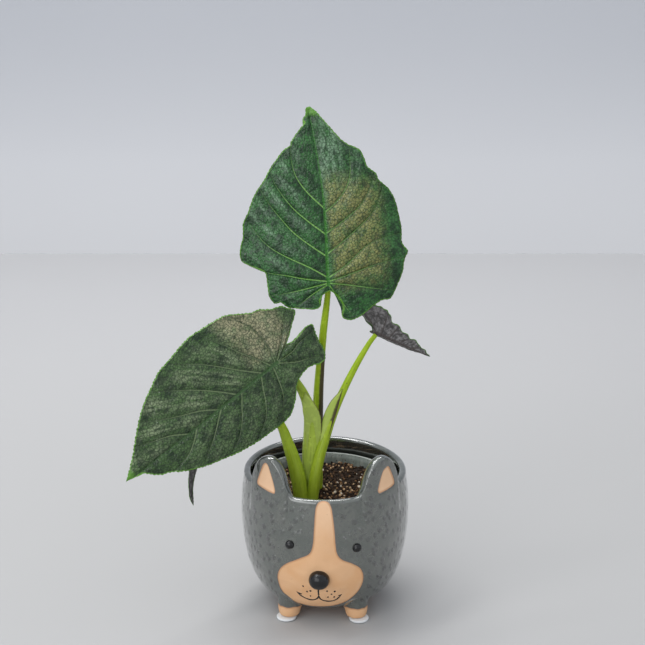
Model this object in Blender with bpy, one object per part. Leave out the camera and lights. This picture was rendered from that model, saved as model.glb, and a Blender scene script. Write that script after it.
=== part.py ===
"""Potted alocasia in an animal-face ceramic planter, standing on four padded feet.

Metres, +Z up, the animal face looks along -Y. Z = 0 is the surface that the foot pads stand on.
"""

import math

import bmesh
import bpy
from mathutils import Vector

MM = 0.001

# Where the pot's axis stands, so that the whole plant's box is centred on the origin
POT_X = 25.1 * MM
POT_Y = 13.6 * MM

# Fit between neighbouring pieces
GAP = 0.3 * MM

# Ceramic planter
POT_RADIUS = 55.2 * MM
POT_BASE_Z = 7.5 * MM
RIM_FRONT_Z = 90.0 * MM
RIM_BACK_RISE = 3.5 * MM
WALL = 4.8 * MM
FLOOR_THICKNESS = 5.5 * MM
FLOOR_CORNER = 7.0 * MM
LIP_HEIGHT = 2.4 * MM
EAR_HEIGHT = 23.7 * MM
EAR_ANGLE = math.radians(43.5)
EAR_HALF_ANGLE = math.radians(17.4)
EAR_PROUD = 1.6 * MM
EAR_BLEND = 18.0 * MM
FACE_TURN = math.radians(-2.5)
MUZZLE_Z = 38.0 * MM
MUZZLE_BULGE = 1.4 * MM
POT_COLUMNS = 96

# Feet and their pads
FOOT_INSET = 3.0 * MM
FOOT_RADIUS = 7.4 * MM
FOOT_ANGLE = math.radians(35.0)
PAD_HEIGHT = 1.6 * MM
PAD_RADIUS = 6.4 * MM
PAD_SHIFT = 3.2 * MM

# Nose and eyes
NOSE_DIAMETER = 13.6 * MM
NOSE_PROUD = 6.0 * MM
EYE_DIAMETER = 6.0 * MM
EYE_PROUD = 2.2 * MM
EYE_RISE = 22.0 * MM
EYE_SKEW = 0.8 * MM
EYE_ANGLE = math.radians(22.5)
BEAD_EDGE = 0.8 * MM

# Nursery pot and soil
NURSERY_DROP = 6.0 * MM
NURSERY_FIT = 2.0 * MM
NURSERY_WALL = 1.2 * MM
NURSERY_LIP = 1.4 * MM
NURSERY_BAND = 5.0 * MM
SOIL_DROP = 15.5 * MM
SOIL_RELIEF = 1.2 * MM
SOIL_FLAT_RADIUS = 22.0 * MM

# What follows from the sizes above
FLOOR_Z = POT_BASE_Z + FLOOR_THICKNESS
NURSERY_TOP_Z = RIM_FRONT_Z - NURSERY_DROP
NURSERY_BASE_Z = FLOOR_Z + GAP
SOIL_Z = RIM_FRONT_Z - SOIL_DROP
SOIL_BASE_Z = NURSERY_BASE_Z + NURSERY_WALL + GAP
SHOULDER_SHARE = 0.80

# Leaves
BLADE_THICKNESS = 0.9 * MM
UPRIGHT_LENGTH = 110.0 * MM
SPREADING_LENGTH = 121.0 * MM
RIGHT_LENGTH = 42.5 * MM
LOW_LENGTH = 82.5 * MM
BLADE_ROWS = 4
MIDRIB_LINES = 17
LOBE_LINES = 13
LOBE_START = 4.0
STALK_SIDES = 14

# Each leaf: where its stalk joins it, in mm from the pot's axis and above the soil, which way
# its midrib runs, and which way its upper face looks
LEAF_PLACES = {
    "leaf_upright": ((2.3, 2.0, 141.0), (-12.3, 24.0, 108.0), (0.05, -0.96, 0.22)),
    "leaf_spreading": ((-30.0, -21.0, 97.0), (-89.0, -62.0, -56.0), (0.382, -0.858, 0.342)),
    "leaf_right": ((33.0, 14.0, 105.9), (36.1, 10.0, -19.6), (0.09, 0.81, 0.57)),
    "leaf_low": ((-70.0, 8.0, 75.5), (-18.5, -30.0, -75.0), (-0.62, 0.62, 0.48)),
}

# Outline of the ceramic body without its ears: height as a share of the way from its base to its
# front rim, radius as a share of the widest
BODY_PROFILE = (
    (0.000, 0.600),
    (0.018, 0.672),
    (0.055, 0.752),
    (0.115, 0.824),
    (0.200, 0.886),
    (0.309, 0.938),
    (0.455, 0.975),
    (0.612, 0.997),
    (0.733, 1.000),
    (0.879, 0.987),
    (1.000, 0.962),
    (1.120, 0.945),
    (1.360, 0.930),
)


def clear_scene():
    for obj in list(bpy.data.objects):
        bpy.data.objects.remove(obj, do_unlink=True)


def make_material(name, colour, roughness, metallic=0.0, coat=0.0):
    material = bpy.data.materials.new(name)
    material.use_nodes = True
    shader = material.node_tree.nodes["Principled BSDF"]
    shader.inputs["Base Color"].default_value = (*colour, 1.0)
    shader.inputs["Roughness"].default_value = roughness
    shader.inputs["Metallic"].default_value = metallic
    shader.inputs["Coat Weight"].default_value = coat
    return material


def add_object(name, points, faces, material, smooth=True):
    """A closed mesh, its doubled points joined and its faces turned outward."""
    mesh = bpy.data.meshes.new(name)
    mesh.from_pydata([tuple(p) for p in points], [], faces)
    bm = bmesh.new()
    bm.from_mesh(mesh)
    bmesh.ops.remove_doubles(bm, verts=bm.verts, dist=0.005 * MM)
    bmesh.ops.recalc_face_normals(bm, faces=bm.faces)
    bm.to_mesh(mesh)
    bm.free()
    for polygon in mesh.polygons:
        polygon.use_smooth = smooth
    mesh.materials.append(material)
    obj = bpy.data.objects.new(name, mesh)
    bpy.context.scene.collection.objects.link(obj)
    return obj


def interpolate(table, x):
    """The value at x of a table of (x, value) pairs, straight between its points."""
    if x <= table[0][0]:
        return table[0][1]
    for (x0, y0), (x1, y1) in zip(table, table[1:]):
        if x <= x1:
            t = (x - x0) / (x1 - x0)
            return y0 + (y1 - y0) * t
    return table[-1][1]


def smooth_path(points, count):
    """A Catmull-Rom curve through the points, cut into count even steps of its parameter."""
    knots = [Vector(p) for p in points]
    knots = [2 * knots[0] - knots[1], *knots, 2 * knots[-1] - knots[-2]]
    spans = len(knots) - 3
    path = []
    for i in range(count):
        u = spans * i / (count - 1)
        k = min(int(u), spans - 1)
        t = u - k
        a, b, c, d = knots[k : k + 4]
        path.append(
            0.5
            * (
                2 * b
                + (c - a) * t
                + (2 * a - 5 * b + 4 * c - d) * t * t
                + (3 * b - a - 3 * c + d) * t * t * t
            )
        )
    return path


def on_pot(angle, radius, z):
    """A point round the pot's axis. Angle 0 is the front and a positive angle is to the right."""
    return Vector((POT_X + radius * math.sin(angle), POT_Y - radius * math.cos(angle), z))


def angle_between(a, b):
    return (a - b + math.pi) % (2 * math.pi) - math.pi


def ear_share(angle):
    """1 at the middle of an ear, 0 beyond its sides."""
    share = 0.0
    for side in (-1, 1):
        t = abs(angle_between(angle, side * EAR_ANGLE)) / EAR_HALF_ANGLE
        if t < 1:
            share = max(share, (1 - t ** 2.2) ** 0.66)
    return share


def pot_height(share):
    """The height of a share of the way from the body's base to its front rim."""
    return POT_BASE_Z + (RIM_FRONT_Z - POT_BASE_Z) * share


def rim_height(angle):
    back = (1 - math.cos(angle)) / 2
    return RIM_FRONT_Z + RIM_BACK_RISE * back + EAR_HEIGHT * ear_share(angle)


def ear_wall(angle, z):
    """How far the outer face of an ear stands out of the body here."""
    share = min(1.0, 2.5 * ear_share(angle))
    rise = min(1.0, max(0.0, 1 - (RIM_FRONT_Z - z) / EAR_BLEND))
    return EAR_PROUD * share * rise


def muzzle_wall(angle, z):
    across = POT_RADIUS * angle_between(angle, FACE_TURN)
    return MUZZLE_BULGE * math.exp(-((across / (19 * MM)) ** 2) - ((z - MUZZLE_Z) / (13 * MM)) ** 2)


def plain_radius(z):
    share = (z - POT_BASE_Z) / (RIM_FRONT_Z - POT_BASE_Z)
    return POT_RADIUS * interpolate(BODY_PROFILE, share)


def body_radius(angle, z):
    return plain_radius(z) + ear_wall(angle, z) + muzzle_wall(angle, z)


def cavity_radius(z):
    corner = max(0.0, 1 - (z - FLOOR_Z) / FLOOR_CORNER)
    return plain_radius(z) - WALL - 0.64 * FLOOR_CORNER * corner ** 2


def planter_rings():
    """The pot's surface as rings of points, from under its base, over the rim, to its floor."""
    angles = [2 * math.pi * i / POT_COLUMNS for i in range(POT_COLUMNS)]
    shoulder = pot_height(SHOULDER_SHARE)
    rings = []
    for share in (0, 0.018, 0.055, 0.115, 0.2, 0.285, 0.37, 0.455, 0.54, 0.636, 0.733, SHOULDER_SHARE):
        z = pot_height(share)
        rings.append([on_pot(a, body_radius(a, z), z) for a in angles])
    for share in (0.3, 0.6, 0.85, 1.0):
        ring = []
        for a in angles:
            z = shoulder + share * (rim_height(a) - LIP_HEIGHT - shoulder)
            ring.append(on_pot(a, body_radius(a, z), z))
        rings.append(ring)
    for turn in (40, 90, 140, 180):
        t = math.radians(turn)
        ring = []
        for a in angles:
            edge = rim_height(a) - LIP_HEIGHT
            middle = (body_radius(a, edge) + cavity_radius(edge)) / 2
            half = (body_radius(a, edge) - cavity_radius(edge)) / 2
            ring.append(on_pot(a, middle + half * math.cos(t), edge + LIP_HEIGHT * math.sin(t)))
        rings.append(ring)
    for share in (0.75, 0.45, 0.2):
        ring = []
        for a in angles:
            z = shoulder + share * (rim_height(a) - LIP_HEIGHT - shoulder)
            ring.append(on_pot(a, cavity_radius(z), z))
        rings.append(ring)
    for share in (1.0, 0.77, 0.52, 0.28, 0.115, 0.05, 0.016, 0.0):
        z = FLOOR_Z + share * (shoulder - FLOOR_Z)
        rings.append([on_pot(a, cavity_radius(z), z) for a in angles])
    return rings


def close_rings(rings, low_pole, high_pole):
    """Faces of a tube of rings, shut at both ends by fans round the two poles."""
    count = len(rings[0])
    points = [p for ring in rings for p in ring] + [low_pole, high_pole]
    low, high = len(points) - 2, len(points) - 1
    faces = []
    for j in range(len(rings) - 1):
        for i in range(count):
            k = (i + 1) % count
            faces.append((j * count + i, j * count + k, (j + 1) * count + k, (j + 1) * count + i))
    last = (len(rings) - 1) * count
    for i in range(count):
        k = (i + 1) % count
        faces.append((k, i, low))
        faces.append((last + i, last + k, high))
    return points, faces


def lathe_at(name, angle, distance, profile, material, sides):
    """A small turned body, its own axis upright at this distance from the pot's axis."""
    middle = on_pot(angle, distance, 0.0)
    rings = []
    for radius, z in profile:
        ring = []
        for i in range(sides):
            a = 2 * math.pi * i / sides
            ring.append(middle + Vector((radius * math.sin(a), -radius * math.cos(a), z)))
        rings.append(ring)
    low = middle + Vector((0, 0, profile[0][1]))
    high = middle + Vector((0, 0, profile[-1][1]))
    points, faces = close_rings(rings, low, high)
    return add_object(name, points, faces, material)


def foot_places():
    """Each foot's label, its angle round the pot, and how far out it stands."""
    circle = plain_radius(POT_BASE_Z + 0.8 * FLOOR_THICKNESS) - FOOT_INSET
    return (
        ("front_left", FACE_TURN - FOOT_ANGLE, circle),
        ("front_right", FACE_TURN + FOOT_ANGLE, circle),
        ("back_left", FACE_TURN - math.pi + FOOT_ANGLE, circle),
        ("back_right", FACE_TURN + math.pi - FOOT_ANGLE, circle),
    )


def build_planter(material):
    """The ceramic body, its ears and its four stub feet, fired as one piece."""
    points, faces = close_rings(planter_rings(), on_pot(0, 0, POT_BASE_Z), on_pot(0, 0, FLOOR_Z))
    body = add_object("planter_body", points, faces, material)
    sole = PAD_HEIGHT + GAP
    for label, angle, circle in foot_places():
        profile = (
            (0.76 * FOOT_RADIUS, sole),
            (0.90 * FOOT_RADIUS, sole + 0.5 * (POT_BASE_Z - sole)),
            (FOOT_RADIUS, POT_BASE_Z + 0.2 * FLOOR_THICKNESS),
            (0.86 * FOOT_RADIUS, POT_BASE_Z + 0.65 * FLOOR_THICKNESS),
            (0.40 * FOOT_RADIUS, POT_BASE_Z + 0.87 * FLOOR_THICKNESS),
        )
        foot = lathe_at(f"cutter_foot_{label}", angle, circle, profile, material, 20)
        foot.hide_render = True
        foot.display_type = "WIRE"
        join = body.modifiers.new(f"foot_{label}", "BOOLEAN")
        join.operation = "UNION"
        join.solver = "EXACT"
        join.object = foot
    return body


def build_pads(material):
    for label, angle, circle in foot_places():
        profile = (
            (PAD_RADIUS - 0.3 * MM, 0.0),
            (PAD_RADIUS, 0.25 * PAD_HEIGHT),
            (PAD_RADIUS, 0.75 * PAD_HEIGHT),
            (PAD_RADIUS - 0.5 * MM, PAD_HEIGHT),
        )
        lathe_at(f"foot_pad_{label}", angle, circle + PAD_SHIFT, profile, material, 24)


def build_bead(name, angle, z, diameter, proud, material):
    """A domed bead whose back follows the ceramic, one gap off it."""
    sides, rows = 18, 4
    front, back = [], []
    for j in range(1, rows + 1):
        rho = j / rows
        ring_front, ring_back = [], []
        for i in range(sides):
            a = 2 * math.pi * i / sides
            across = diameter / 2 * rho * math.cos(a)
            up = diameter / 2 * rho * math.sin(a)
            here = angle + across / POT_RADIUS
            wall = body_radius(here, z + up) + GAP
            ring_back.append(on_pot(here, wall, z + up))
            dome = BEAD_EDGE + proud * math.sqrt(max(0.0, 1 - rho ** 2))
            ring_front.append(on_pot(here, wall + dome, z + up))
        front.append(ring_front)
        back.append(ring_back)
    wall = body_radius(angle, z) + GAP
    rings = [*front, *reversed(back)]
    points, faces = close_rings(
        rings, on_pot(angle, wall + BEAD_EDGE + proud, z), on_pot(angle, wall, z)
    )
    return add_object(name, points, faces, material)


def nursery_radius(z):
    """The outside of the nursery pot's straight wall, which clears the ceramic all the way up."""
    low = cavity_radius(NURSERY_BASE_Z) - NURSERY_FIT
    high = cavity_radius(NURSERY_TOP_Z) - NURSERY_LIP - NURSERY_FIT
    return low + (high - low) * (z - NURSERY_BASE_Z) / (NURSERY_TOP_Z - NURSERY_BASE_Z)


def build_nursery_pot(material):
    """The thin plastic pot that the plant grows in, dropped into the ceramic one."""
    base = NURSERY_BASE_Z
    top = NURSERY_TOP_Z
    middle = (base + top) / 2
    band = top - NURSERY_BAND
    floor = base + NURSERY_WALL
    profile = (
        (nursery_radius(base), base),
        (nursery_radius(middle), middle),
        (nursery_radius(band), band),
        (nursery_radius(band) + NURSERY_LIP, band + 0.4 * MM),
        (nursery_radius(top) + NURSERY_LIP, top - 0.6 * MM),
        (nursery_radius(top) + 0.6 * NURSERY_LIP, top),
        (nursery_radius(top) - 0.7 * NURSERY_WALL, top),
        (nursery_radius(top) - NURSERY_WALL, top - 0.6 * MM),
        (nursery_radius(middle) - NURSERY_WALL, middle),
        (nursery_radius(floor) - NURSERY_WALL, floor),
    )
    rings = []
    for radius, z in profile:
        rings.append([on_pot(2 * math.pi * i / 60, radius, z) for i in range(60)])
    points, faces = close_rings(rings, on_pot(0, 0, base), on_pot(0, 0, floor))
    return add_object("nursery_pot", points, faces, material)


def soil_height(x, y):
    """The lumpy top of the potting mix, x and y in metres from the pot's axis."""
    a = math.sin(0.31 * x / MM + 1.3) * math.sin(0.27 * y / MM + 0.4)
    b = math.sin(0.73 * x / MM + 0.22 * y / MM)
    c = math.sin(0.61 * y / MM - 0.35 * x / MM + 2.0)
    fade = min(1.0, max(0.0, (math.hypot(x, y) - SOIL_FLAT_RADIUS) / (6 * MM)))
    return SOIL_Z + SOIL_RELIEF * fade * (0.5 * a + 0.25 * b + 0.25 * c - 0.6)


def build_soil(material):
    sides = 48

    def fill(z):
        return nursery_radius(z) - NURSERY_WALL - 1.6 * GAP

    edge = SOIL_Z - 3 * MM
    rings = []
    for z in (SOIL_BASE_Z, (SOIL_BASE_Z + edge) / 2, edge):
        rings.append([on_pot(2 * math.pi * i / sides, fill(z), z) for i in range(sides)])
    for share in (1.0, 0.88, 0.76, 0.64, 0.5, 0.25):
        ring = []
        for i in range(sides):
            p = on_pot(2 * math.pi * i / sides, share * fill(edge), 0)
            p.z = soil_height(p.x - POT_X, p.y - POT_Y)
            ring.append(p)
        rings.append(ring)
    points, faces = close_rings(rings, on_pot(0, 0, SOIL_BASE_Z), on_pot(0, 0, SOIL_Z))
    return add_object("potting_soil", points, faces, material)


def from_soil(point):
    """A point given in mm from the pot's axis and above the soil, in the model's own frame."""
    return Vector(point) * MM + Vector((POT_X, POT_Y, SOIL_Z))


def blade_frame(leaf):
    """The joint of a leaf, and the directions across it, along it and out of its upper face."""
    joint, along, face = LEAF_PLACES[leaf]
    along = Vector(along).normalized()
    face = Vector(face)
    face = (face - along * face.dot(along)).normalized()
    return from_soil(joint), along.cross(face), along, face


def build_stalk(name, leaf, path, radii, material):
    """A leaf stalk: a tapering tube along a smooth path, from the soil to just under its blade."""
    steps = 20
    joint, _, _, face = blade_frame(leaf)
    knots = [from_soil(p) for p in path]
    knots[0].z += GAP
    knots.append(joint - face * (BLADE_THICKNESS + GAP + 1.1 * radii[-1] * MM))
    centre = smooth_path(knots, steps)
    rings = []
    side = Vector((1, 0, 0))
    for i, p in enumerate(centre):
        ahead = Vector((0, 0, 1))
        if i > 0:
            ahead = (centre[min(i + 1, steps - 1)] - centre[i - 1]).normalized()
        side = (side - ahead * side.dot(ahead)).normalized()
        other = ahead.cross(side)
        u = (len(radii) - 1) * i / (steps - 1)
        k = min(int(u), len(radii) - 2)
        radius = (radii[k] + (radii[k + 1] - radii[k]) * (u - k)) * MM
        ring = []
        for j in range(STALK_SIDES):
            a = 2 * math.pi * j / STALK_SIDES
            ring.append(p + side * radius * math.cos(a) + other * radius * math.sin(a))
        rings.append(ring)
    points, faces = close_rings(rings, centre[0], centre[-1])
    return add_object(name, points, faces, material)


def even_points(edge, count):
    """Points at even lengths along an open line of (across, along) pairs."""
    lengths = [0.0]
    for (a0, b0), (a1, b1) in zip(edge, edge[1:]):
        lengths.append(lengths[-1] + math.hypot(a1 - a0, b1 - b0))
    found = []
    for i in range(count):
        want = lengths[-1] * i / (count - 1)
        k = max(j for j in range(len(lengths) - 1) if lengths[j] <= want + 1e-9)
        t = (want - lengths[k]) / (lengths[k + 1] - lengths[k])
        a = edge[k][0] + (edge[k + 1][0] - edge[k][0]) * t
        b = edge[k][1] + (edge[k + 1][1] - edge[k][1]) * t
        found.append((a, b))
    return found


def fan_lines(edge):
    """Lines of the blade as (start, end): the first ones leave the midrib, the others a lobe's vein."""
    turn = next(i for i in range(len(edge)) if edge[i][1] < LOBE_START)
    (a0, b0), (a1, b1) = edge[turn - 1], edge[turn]
    t = (b0 - LOBE_START) / (b0 - b1)
    crossing = (a0 + (a1 - a0) * t, LOBE_START)
    upper = even_points([*edge[:turn], crossing], MIDRIB_LINES)
    lower = even_points([crossing, *edge[turn:]], LOBE_LINES)
    lines = []
    for i, end in enumerate(upper):
        lines.append(((0.0, 0.74 * edge[0][1] * (1 - i / (MIDRIB_LINES - 1))), end))
    lobe = min(lower, key=lambda p: p[1])
    for i, end in enumerate(lower[1:], start=1):
        reach = 0.6 * (1 - abs(2 * i / (LOBE_LINES - 1) - 1))
        lines.append(((reach * lobe[0], reach * lobe[1]), end))
    return lines


def build_blade(name, length, edges, shape, material):
    """A leaf blade, laid out flat as two fans of lines from its veins, then bent.

    The edges are its outline in mm, across and along, from the tip round each side to the notch.
    The length is from the joint to the tip, and the whole outline is stretched to it.
    """
    joint, across, along, face = blade_frame(name)
    stretch = length / edges[0][0][1]
    points, faces = [], []
    for edge in edges:
        lines = fan_lines(edge)
        first = len(points)
        for (a0, b0), (a1, b1) in lines:
            for k in range(BLADE_ROWS + 1):
                t = k / BLADE_ROWS
                a = a0 + (a1 - a0) * t
                b = b0 + (b1 - b0) * t
                top = joint + (across * a + along * b + face * shape(a, b)) * stretch
                points.append(top)
                points.append(top - face * BLADE_THICKNESS)
        row = 2 * (BLADE_ROWS + 1)
        for i in range(len(lines) - 1):
            for k in range(BLADE_ROWS):
                p = first + i * row + 2 * k
                faces.append((p, p + row, p + row + 2, p + 2))
                faces.append((p + 1, p + 3, p + row + 3, p + row + 1))
            p = first + i * row + 2 * BLADE_ROWS
            faces.append((p, p + row, p + row + 1, p + 1))
    return add_object(name, points, faces, material)


def upright_shape(a, b):
    """Across and along in mm give the height of the blade over its own plane, in mm."""
    back = -0.0022 * a * a - 0.0006 * b * (b - 80)
    return back + 1.6 * math.sin(0.11 * b + 0.5) * (a / 50) ** 2


def spreading_shape(a, b):
    curl = -0.006 * min(0.0, a + 14) ** 2
    return curl - 0.0012 * a * a - 0.0007 * max(0.0, b) ** 2 + 0.08 * b


def folded_shape(a, b):
    return 0.55 * math.hypot(a, 1.5) - 0.8 + 0.02 * a * math.sin(0.3 * b)


def hanging_shape(a, b):
    return -0.01 * a * a - 0.002 * b * (b - 60)


def build_leaves(upper, folded_underside):
    build_blade(
        "leaf_upright",
        UPRIGHT_LENGTH,
        (
            (
                (0, 109), (7, 103), (15, 94), (21, 87), (30, 78), (31, 71), (40, 60), (47, 48),
                (48, 24), (51, 15), (48, 6), (41, -8), (32, -14), (21, -21), (14, -24), (7, -21),
                (6, -13), (0, -4),
            ),
            (
                (0, 109), (-5, 100), (-14, 90), (-25, 79), (-37, 64), (-46, 49), (-52, 32),
                (-53, 20), (-38, 11), (-38, -4), (-32, -9), (-22, -13), (-9, -14), (-6, -8),
                (0, -4),
            ),
        ),
        upright_shape,
        upper,
    )
    build_blade(
        "leaf_spreading",
        SPREADING_LENGTH,
        (
            (
                (1, 120), (-1, 109), (-9, 101), (-15, 90), (-23, 74), (-28, 56), (-32, 37),
                (-33, 20), (-28, 7), (-17, -7), (-16, -18), (-18, -28), (-7, -32), (4, -35),
                (6, -29), (5, -12),
            ),
            (
                (1, 120), (11, 108), (26, 91), (36, 75), (42, 57), (46, 35), (45, 18), (38, 1),
                (33, -10), (27, -21), (18, -31), (8, -17), (5, -12),
            ),
        ),
        spreading_shape,
        upper,
    )
    build_blade(
        "leaf_right",
        RIGHT_LENGTH,
        (
            (
                (0, 43), (4, 36), (7, 28), (8, 21), (9, 12), (12, 5), (15, -4), (15, -9),
                (10, -13), (5, -13), (0, -3),
            ),
            (
                (0, 43), (-5, 36), (-9, 27), (-12, 18), (-14, 8), (-14, -2), (-10, -8),
                (-5, -8), (0, -3),
            ),
        ),
        folded_shape,
        folded_underside,
    )
    build_blade(
        "leaf_low",
        LOW_LENGTH,
        (
            (
                (-1, 87), (-3, 80), (-1, 70), (4, 58), (12, 46), (19, 32), (22, 16), (20, 2),
                (14, -12), (8, -14), (4, -8), (0, -3),
            ),
            (
                (-1, 87), (-7, 80), (-9, 70), (-12, 58), (-16, 46), (-21, 32), (-22, 16),
                (-20, 2), (-14, -12), (-8, -14), (-4, -8), (0, -3),
            ),
        ),
        hanging_shape,
        upper,
    )


def build_stalks(material):
    build_stalk(
        "stalk_upright",
        "leaf_upright",
        ((-5, 6, 0), (-5, 7, 35.5), (-4, 7.5, 70.5), (-1.3, 8, 105.5), (1.3, 7.5, 128.5)),
        (2.9, 3.0, 3.2, 3.0, 2.6, 1.6),
        material,
    )
    build_stalk(
        "stalk_spreading",
        "leaf_spreading",
        (
            (-9.5, -3, 0), (-9, -3.5, 20.5), (-8.5, -5, 40.5), (-9.5, -7, 57.5),
            (-14, -9.5, 72.5), (-22, -13.5, 86.5),
        ),
        (5.0, 5.4, 5.8, 4.8, 3.2, 2.4, 1.6),
        material,
    )
    build_stalk(
        "stalk_right",
        "leaf_right",
        (
            (-5.5, -13.5, 0), (-2.8, -11, 20.5), (1, -6.5, 38.5), (6.5, 0, 59.5),
            (15.4, 5, 80.5), (26.5, 10, 97.5),
        ),
        (3.3, 3.3, 3.1, 2.8, 2.4, 2.0, 1.5),
        material,
    )
    build_stalk(
        "stalk_low",
        "leaf_low",
        (
            (-15, -14, 0), (-18, -12.5, 18.5), (-23.5, -11, 37.5), (-30, -8, 52.5),
            (-46, -2, 66.5), (-61, 4, 73.5),
        ),
        (4.0, 4.2, 3.6, 2.8, 2.2, 1.8, 1.4),
        material,
    )


def main():
    clear_scene()
    glaze = make_material("glazed_stoneware", (0.127, 0.150, 0.141), 0.16, coat=0.4)
    bead = make_material("black_glaze", (0.008, 0.008, 0.009), 0.10, coat=0.6)
    pad = make_material("white_pad", (0.78, 0.78, 0.76), 0.55)
    plastic = make_material("nursery_plastic", (0.16, 0.19, 0.17), 0.42)
    soil = make_material("potting_mix", (0.060, 0.036, 0.024), 0.95)
    blade = make_material("leaf_green", (0.030, 0.085, 0.038), 0.34)
    purple = make_material("leaf_purple", (0.105, 0.080, 0.090), 0.50)
    stalk = make_material("stalk_lime", (0.240, 0.350, 0.030), 0.42)
    build_planter(glaze)
    build_pads(pad)
    build_bead("nose", FACE_TURN, MUZZLE_Z, NOSE_DIAMETER, NOSE_PROUD, bead)
    for side, name in ((-1, "eye_left"), (1, "eye_right")):
        angle = FACE_TURN + side * EYE_ANGLE
        build_bead(name, angle, MUZZLE_Z + EYE_RISE - side * EYE_SKEW, EYE_DIAMETER, EYE_PROUD, bead)
    build_nursery_pot(plastic)
    build_soil(soil)
    build_stalks(stalk)
    build_leaves(blade, purple)


main()
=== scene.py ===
# %% [markdown]
# # A potted alocasia in a dog-faced stoneware planter
# The real thing is three layers: a glazed ceramic planter with a face modelled on its front, a thin
# plastic nursery pot dropped inside it, and the living plant with four leaves rooted in potting mix.
# The CAD frame already says how big each piece is and where it stands. Everything below builds the
# surfaces a viewer looks at, and each one rides on that frame.
#
# Lengths are in millimetres from the pot's own upright axis, because that is how a potter would
# measure it. They turn into metres in one place, where a piece's mesh is made. Only the studio round
# the plant is set out in metres.

# %% Load the frame
import math

import bpy
import numpy as np
from mathutils import Matrix, Vector


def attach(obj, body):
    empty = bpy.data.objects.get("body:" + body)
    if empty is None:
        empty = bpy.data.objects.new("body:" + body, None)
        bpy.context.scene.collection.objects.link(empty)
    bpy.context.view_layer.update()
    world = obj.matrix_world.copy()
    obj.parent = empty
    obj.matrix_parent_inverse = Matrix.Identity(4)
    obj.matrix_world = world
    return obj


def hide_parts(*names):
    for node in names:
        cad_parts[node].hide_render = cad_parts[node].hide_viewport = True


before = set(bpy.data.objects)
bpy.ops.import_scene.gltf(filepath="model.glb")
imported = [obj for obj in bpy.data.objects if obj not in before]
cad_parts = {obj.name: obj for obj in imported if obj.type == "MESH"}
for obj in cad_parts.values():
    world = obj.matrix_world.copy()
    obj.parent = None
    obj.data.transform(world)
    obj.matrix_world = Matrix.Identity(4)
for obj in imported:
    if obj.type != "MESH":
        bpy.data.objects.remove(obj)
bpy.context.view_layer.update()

AXIS = np.array((25.1, 13.6, 0.0))   # the pot's axis in the CAD frame
FACE = math.radians(-2.5)            # the face looks a little to the left of the front
SOIL_TOP = 74.5
dice = np.random.default_rng(11)

# %% [markdown]
# ## How a surface is made here
# Every piece is a sheet of four-sided faces laid out in rows and columns, like cloth, because rows
# that follow the form shade smoothly and carry measurements. Each point can hold numbers, such as
# its distance from a painted edge. The materials read those numbers, so an edge stays sharp however
# close the viewer comes.

# %% Mesh helpers
def sheet_faces(rows, columns, closed=False):
    """The faces of a sheet of points; closed joins the last column to the first."""
    j, i = np.meshgrid(np.arange(rows - 1), np.arange(columns if closed else columns - 1), indexing="ij")
    k = (i + 1) % columns      # the next column round
    return np.stack(
        [j * columns + i, j * columns + k, (j + 1) * columns + k, (j + 1) * columns + i], -1
    ).reshape(-1, 4)


def joined(parts):
    """Several (points, faces, numbers) laid into one mesh. Numbers missing from a part are 0."""
    points, faces, start = [], [], 0
    names = sorted({name for part in parts for name in part[2]})
    numbers = {name: [] for name in names}
    for p, f, n in parts:
        p = np.asarray(p, float).reshape(-1, 3)
        points.append(p)
        faces.append(np.asarray(f) + start)
        for name in names:
            values = np.asarray(n.get(name, 0.0), float).reshape(-1)
            numbers[name].append(np.broadcast_to(values, (len(p),)))
        start += len(p)
    return np.concatenate(points), faces, {name: np.concatenate(v) for name, v in numbers.items()}


def add_piece(name, parts, materials, stands_for=(), body="root"):
    """One visible piece, riding on the frame, in place of the CAD nodes it stands for."""
    points, groups, numbers = joined(parts)
    mesh = bpy.data.meshes.new(name)
    faces = [tuple(face) for group in groups for face in group.tolist()]
    mesh.from_pydata(((points + AXIS) * 0.001).tolist(), [], faces)
    for key, values in numbers.items():
        mesh.attributes.new(key, "FLOAT", "POINT").data.foreach_set("value", values.astype(np.float32))
    if "part" in numbers:
        first = np.array([face[0] for face in faces])
        mesh.polygons.foreach_set("material_index", np.round(numbers["part"][first]).astype(np.int32))
    mesh.polygons.foreach_set("use_smooth", np.ones(len(faces), bool))
    for material in materials:
        mesh.materials.append(material)
    piece = bpy.data.objects.new(name, mesh)
    bpy.context.scene.collection.objects.link(piece)
    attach(piece, body)
    if stands_for:
        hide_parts(*stands_for)
    print(f"{name}: {len(points)} points, {len(faces)} faces")
    return piece


def through(points, count, closed=False):
    """A smooth curve through the points, as count points evenly spaced along its own length."""
    knots = np.asarray(points, float)
    if closed:
        knots = np.vstack([knots[-1:], knots, knots[:2]])
    else:
        knots = np.vstack([2 * knots[0] - knots[1], knots, 2 * knots[-1] - knots[-2]])
    u = np.linspace(0, len(knots) - 3, 40 * (len(knots) - 3) + 1)
    k = np.minimum(u.astype(int), len(knots) - 4)
    t = (u - k)[:, None]
    a, b, c, d = knots[k], knots[k + 1], knots[k + 2], knots[k + 3]
    curve = 0.5 * (2 * b + (c - a) * t + (2 * a - 5 * b + 4 * c - d) * t**2 + (3 * b - a - 3 * c + d) * t**3)
    length = np.concatenate([[0], np.cumsum(np.linalg.norm(np.diff(curve, axis=0), axis=1))])
    want = np.linspace(0, length[-1], count)
    return np.stack([np.interp(want, length, curve[:, n]) for n in range(curve.shape[1])], 1)


def circle(count):
    """Even angles round a circle, without the first one again at the end."""
    return np.linspace(0, 2 * np.pi, count + 1)[:-1]


def length_of(line):
    return np.linalg.norm(np.diff(line, axis=0), axis=1).sum()


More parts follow.
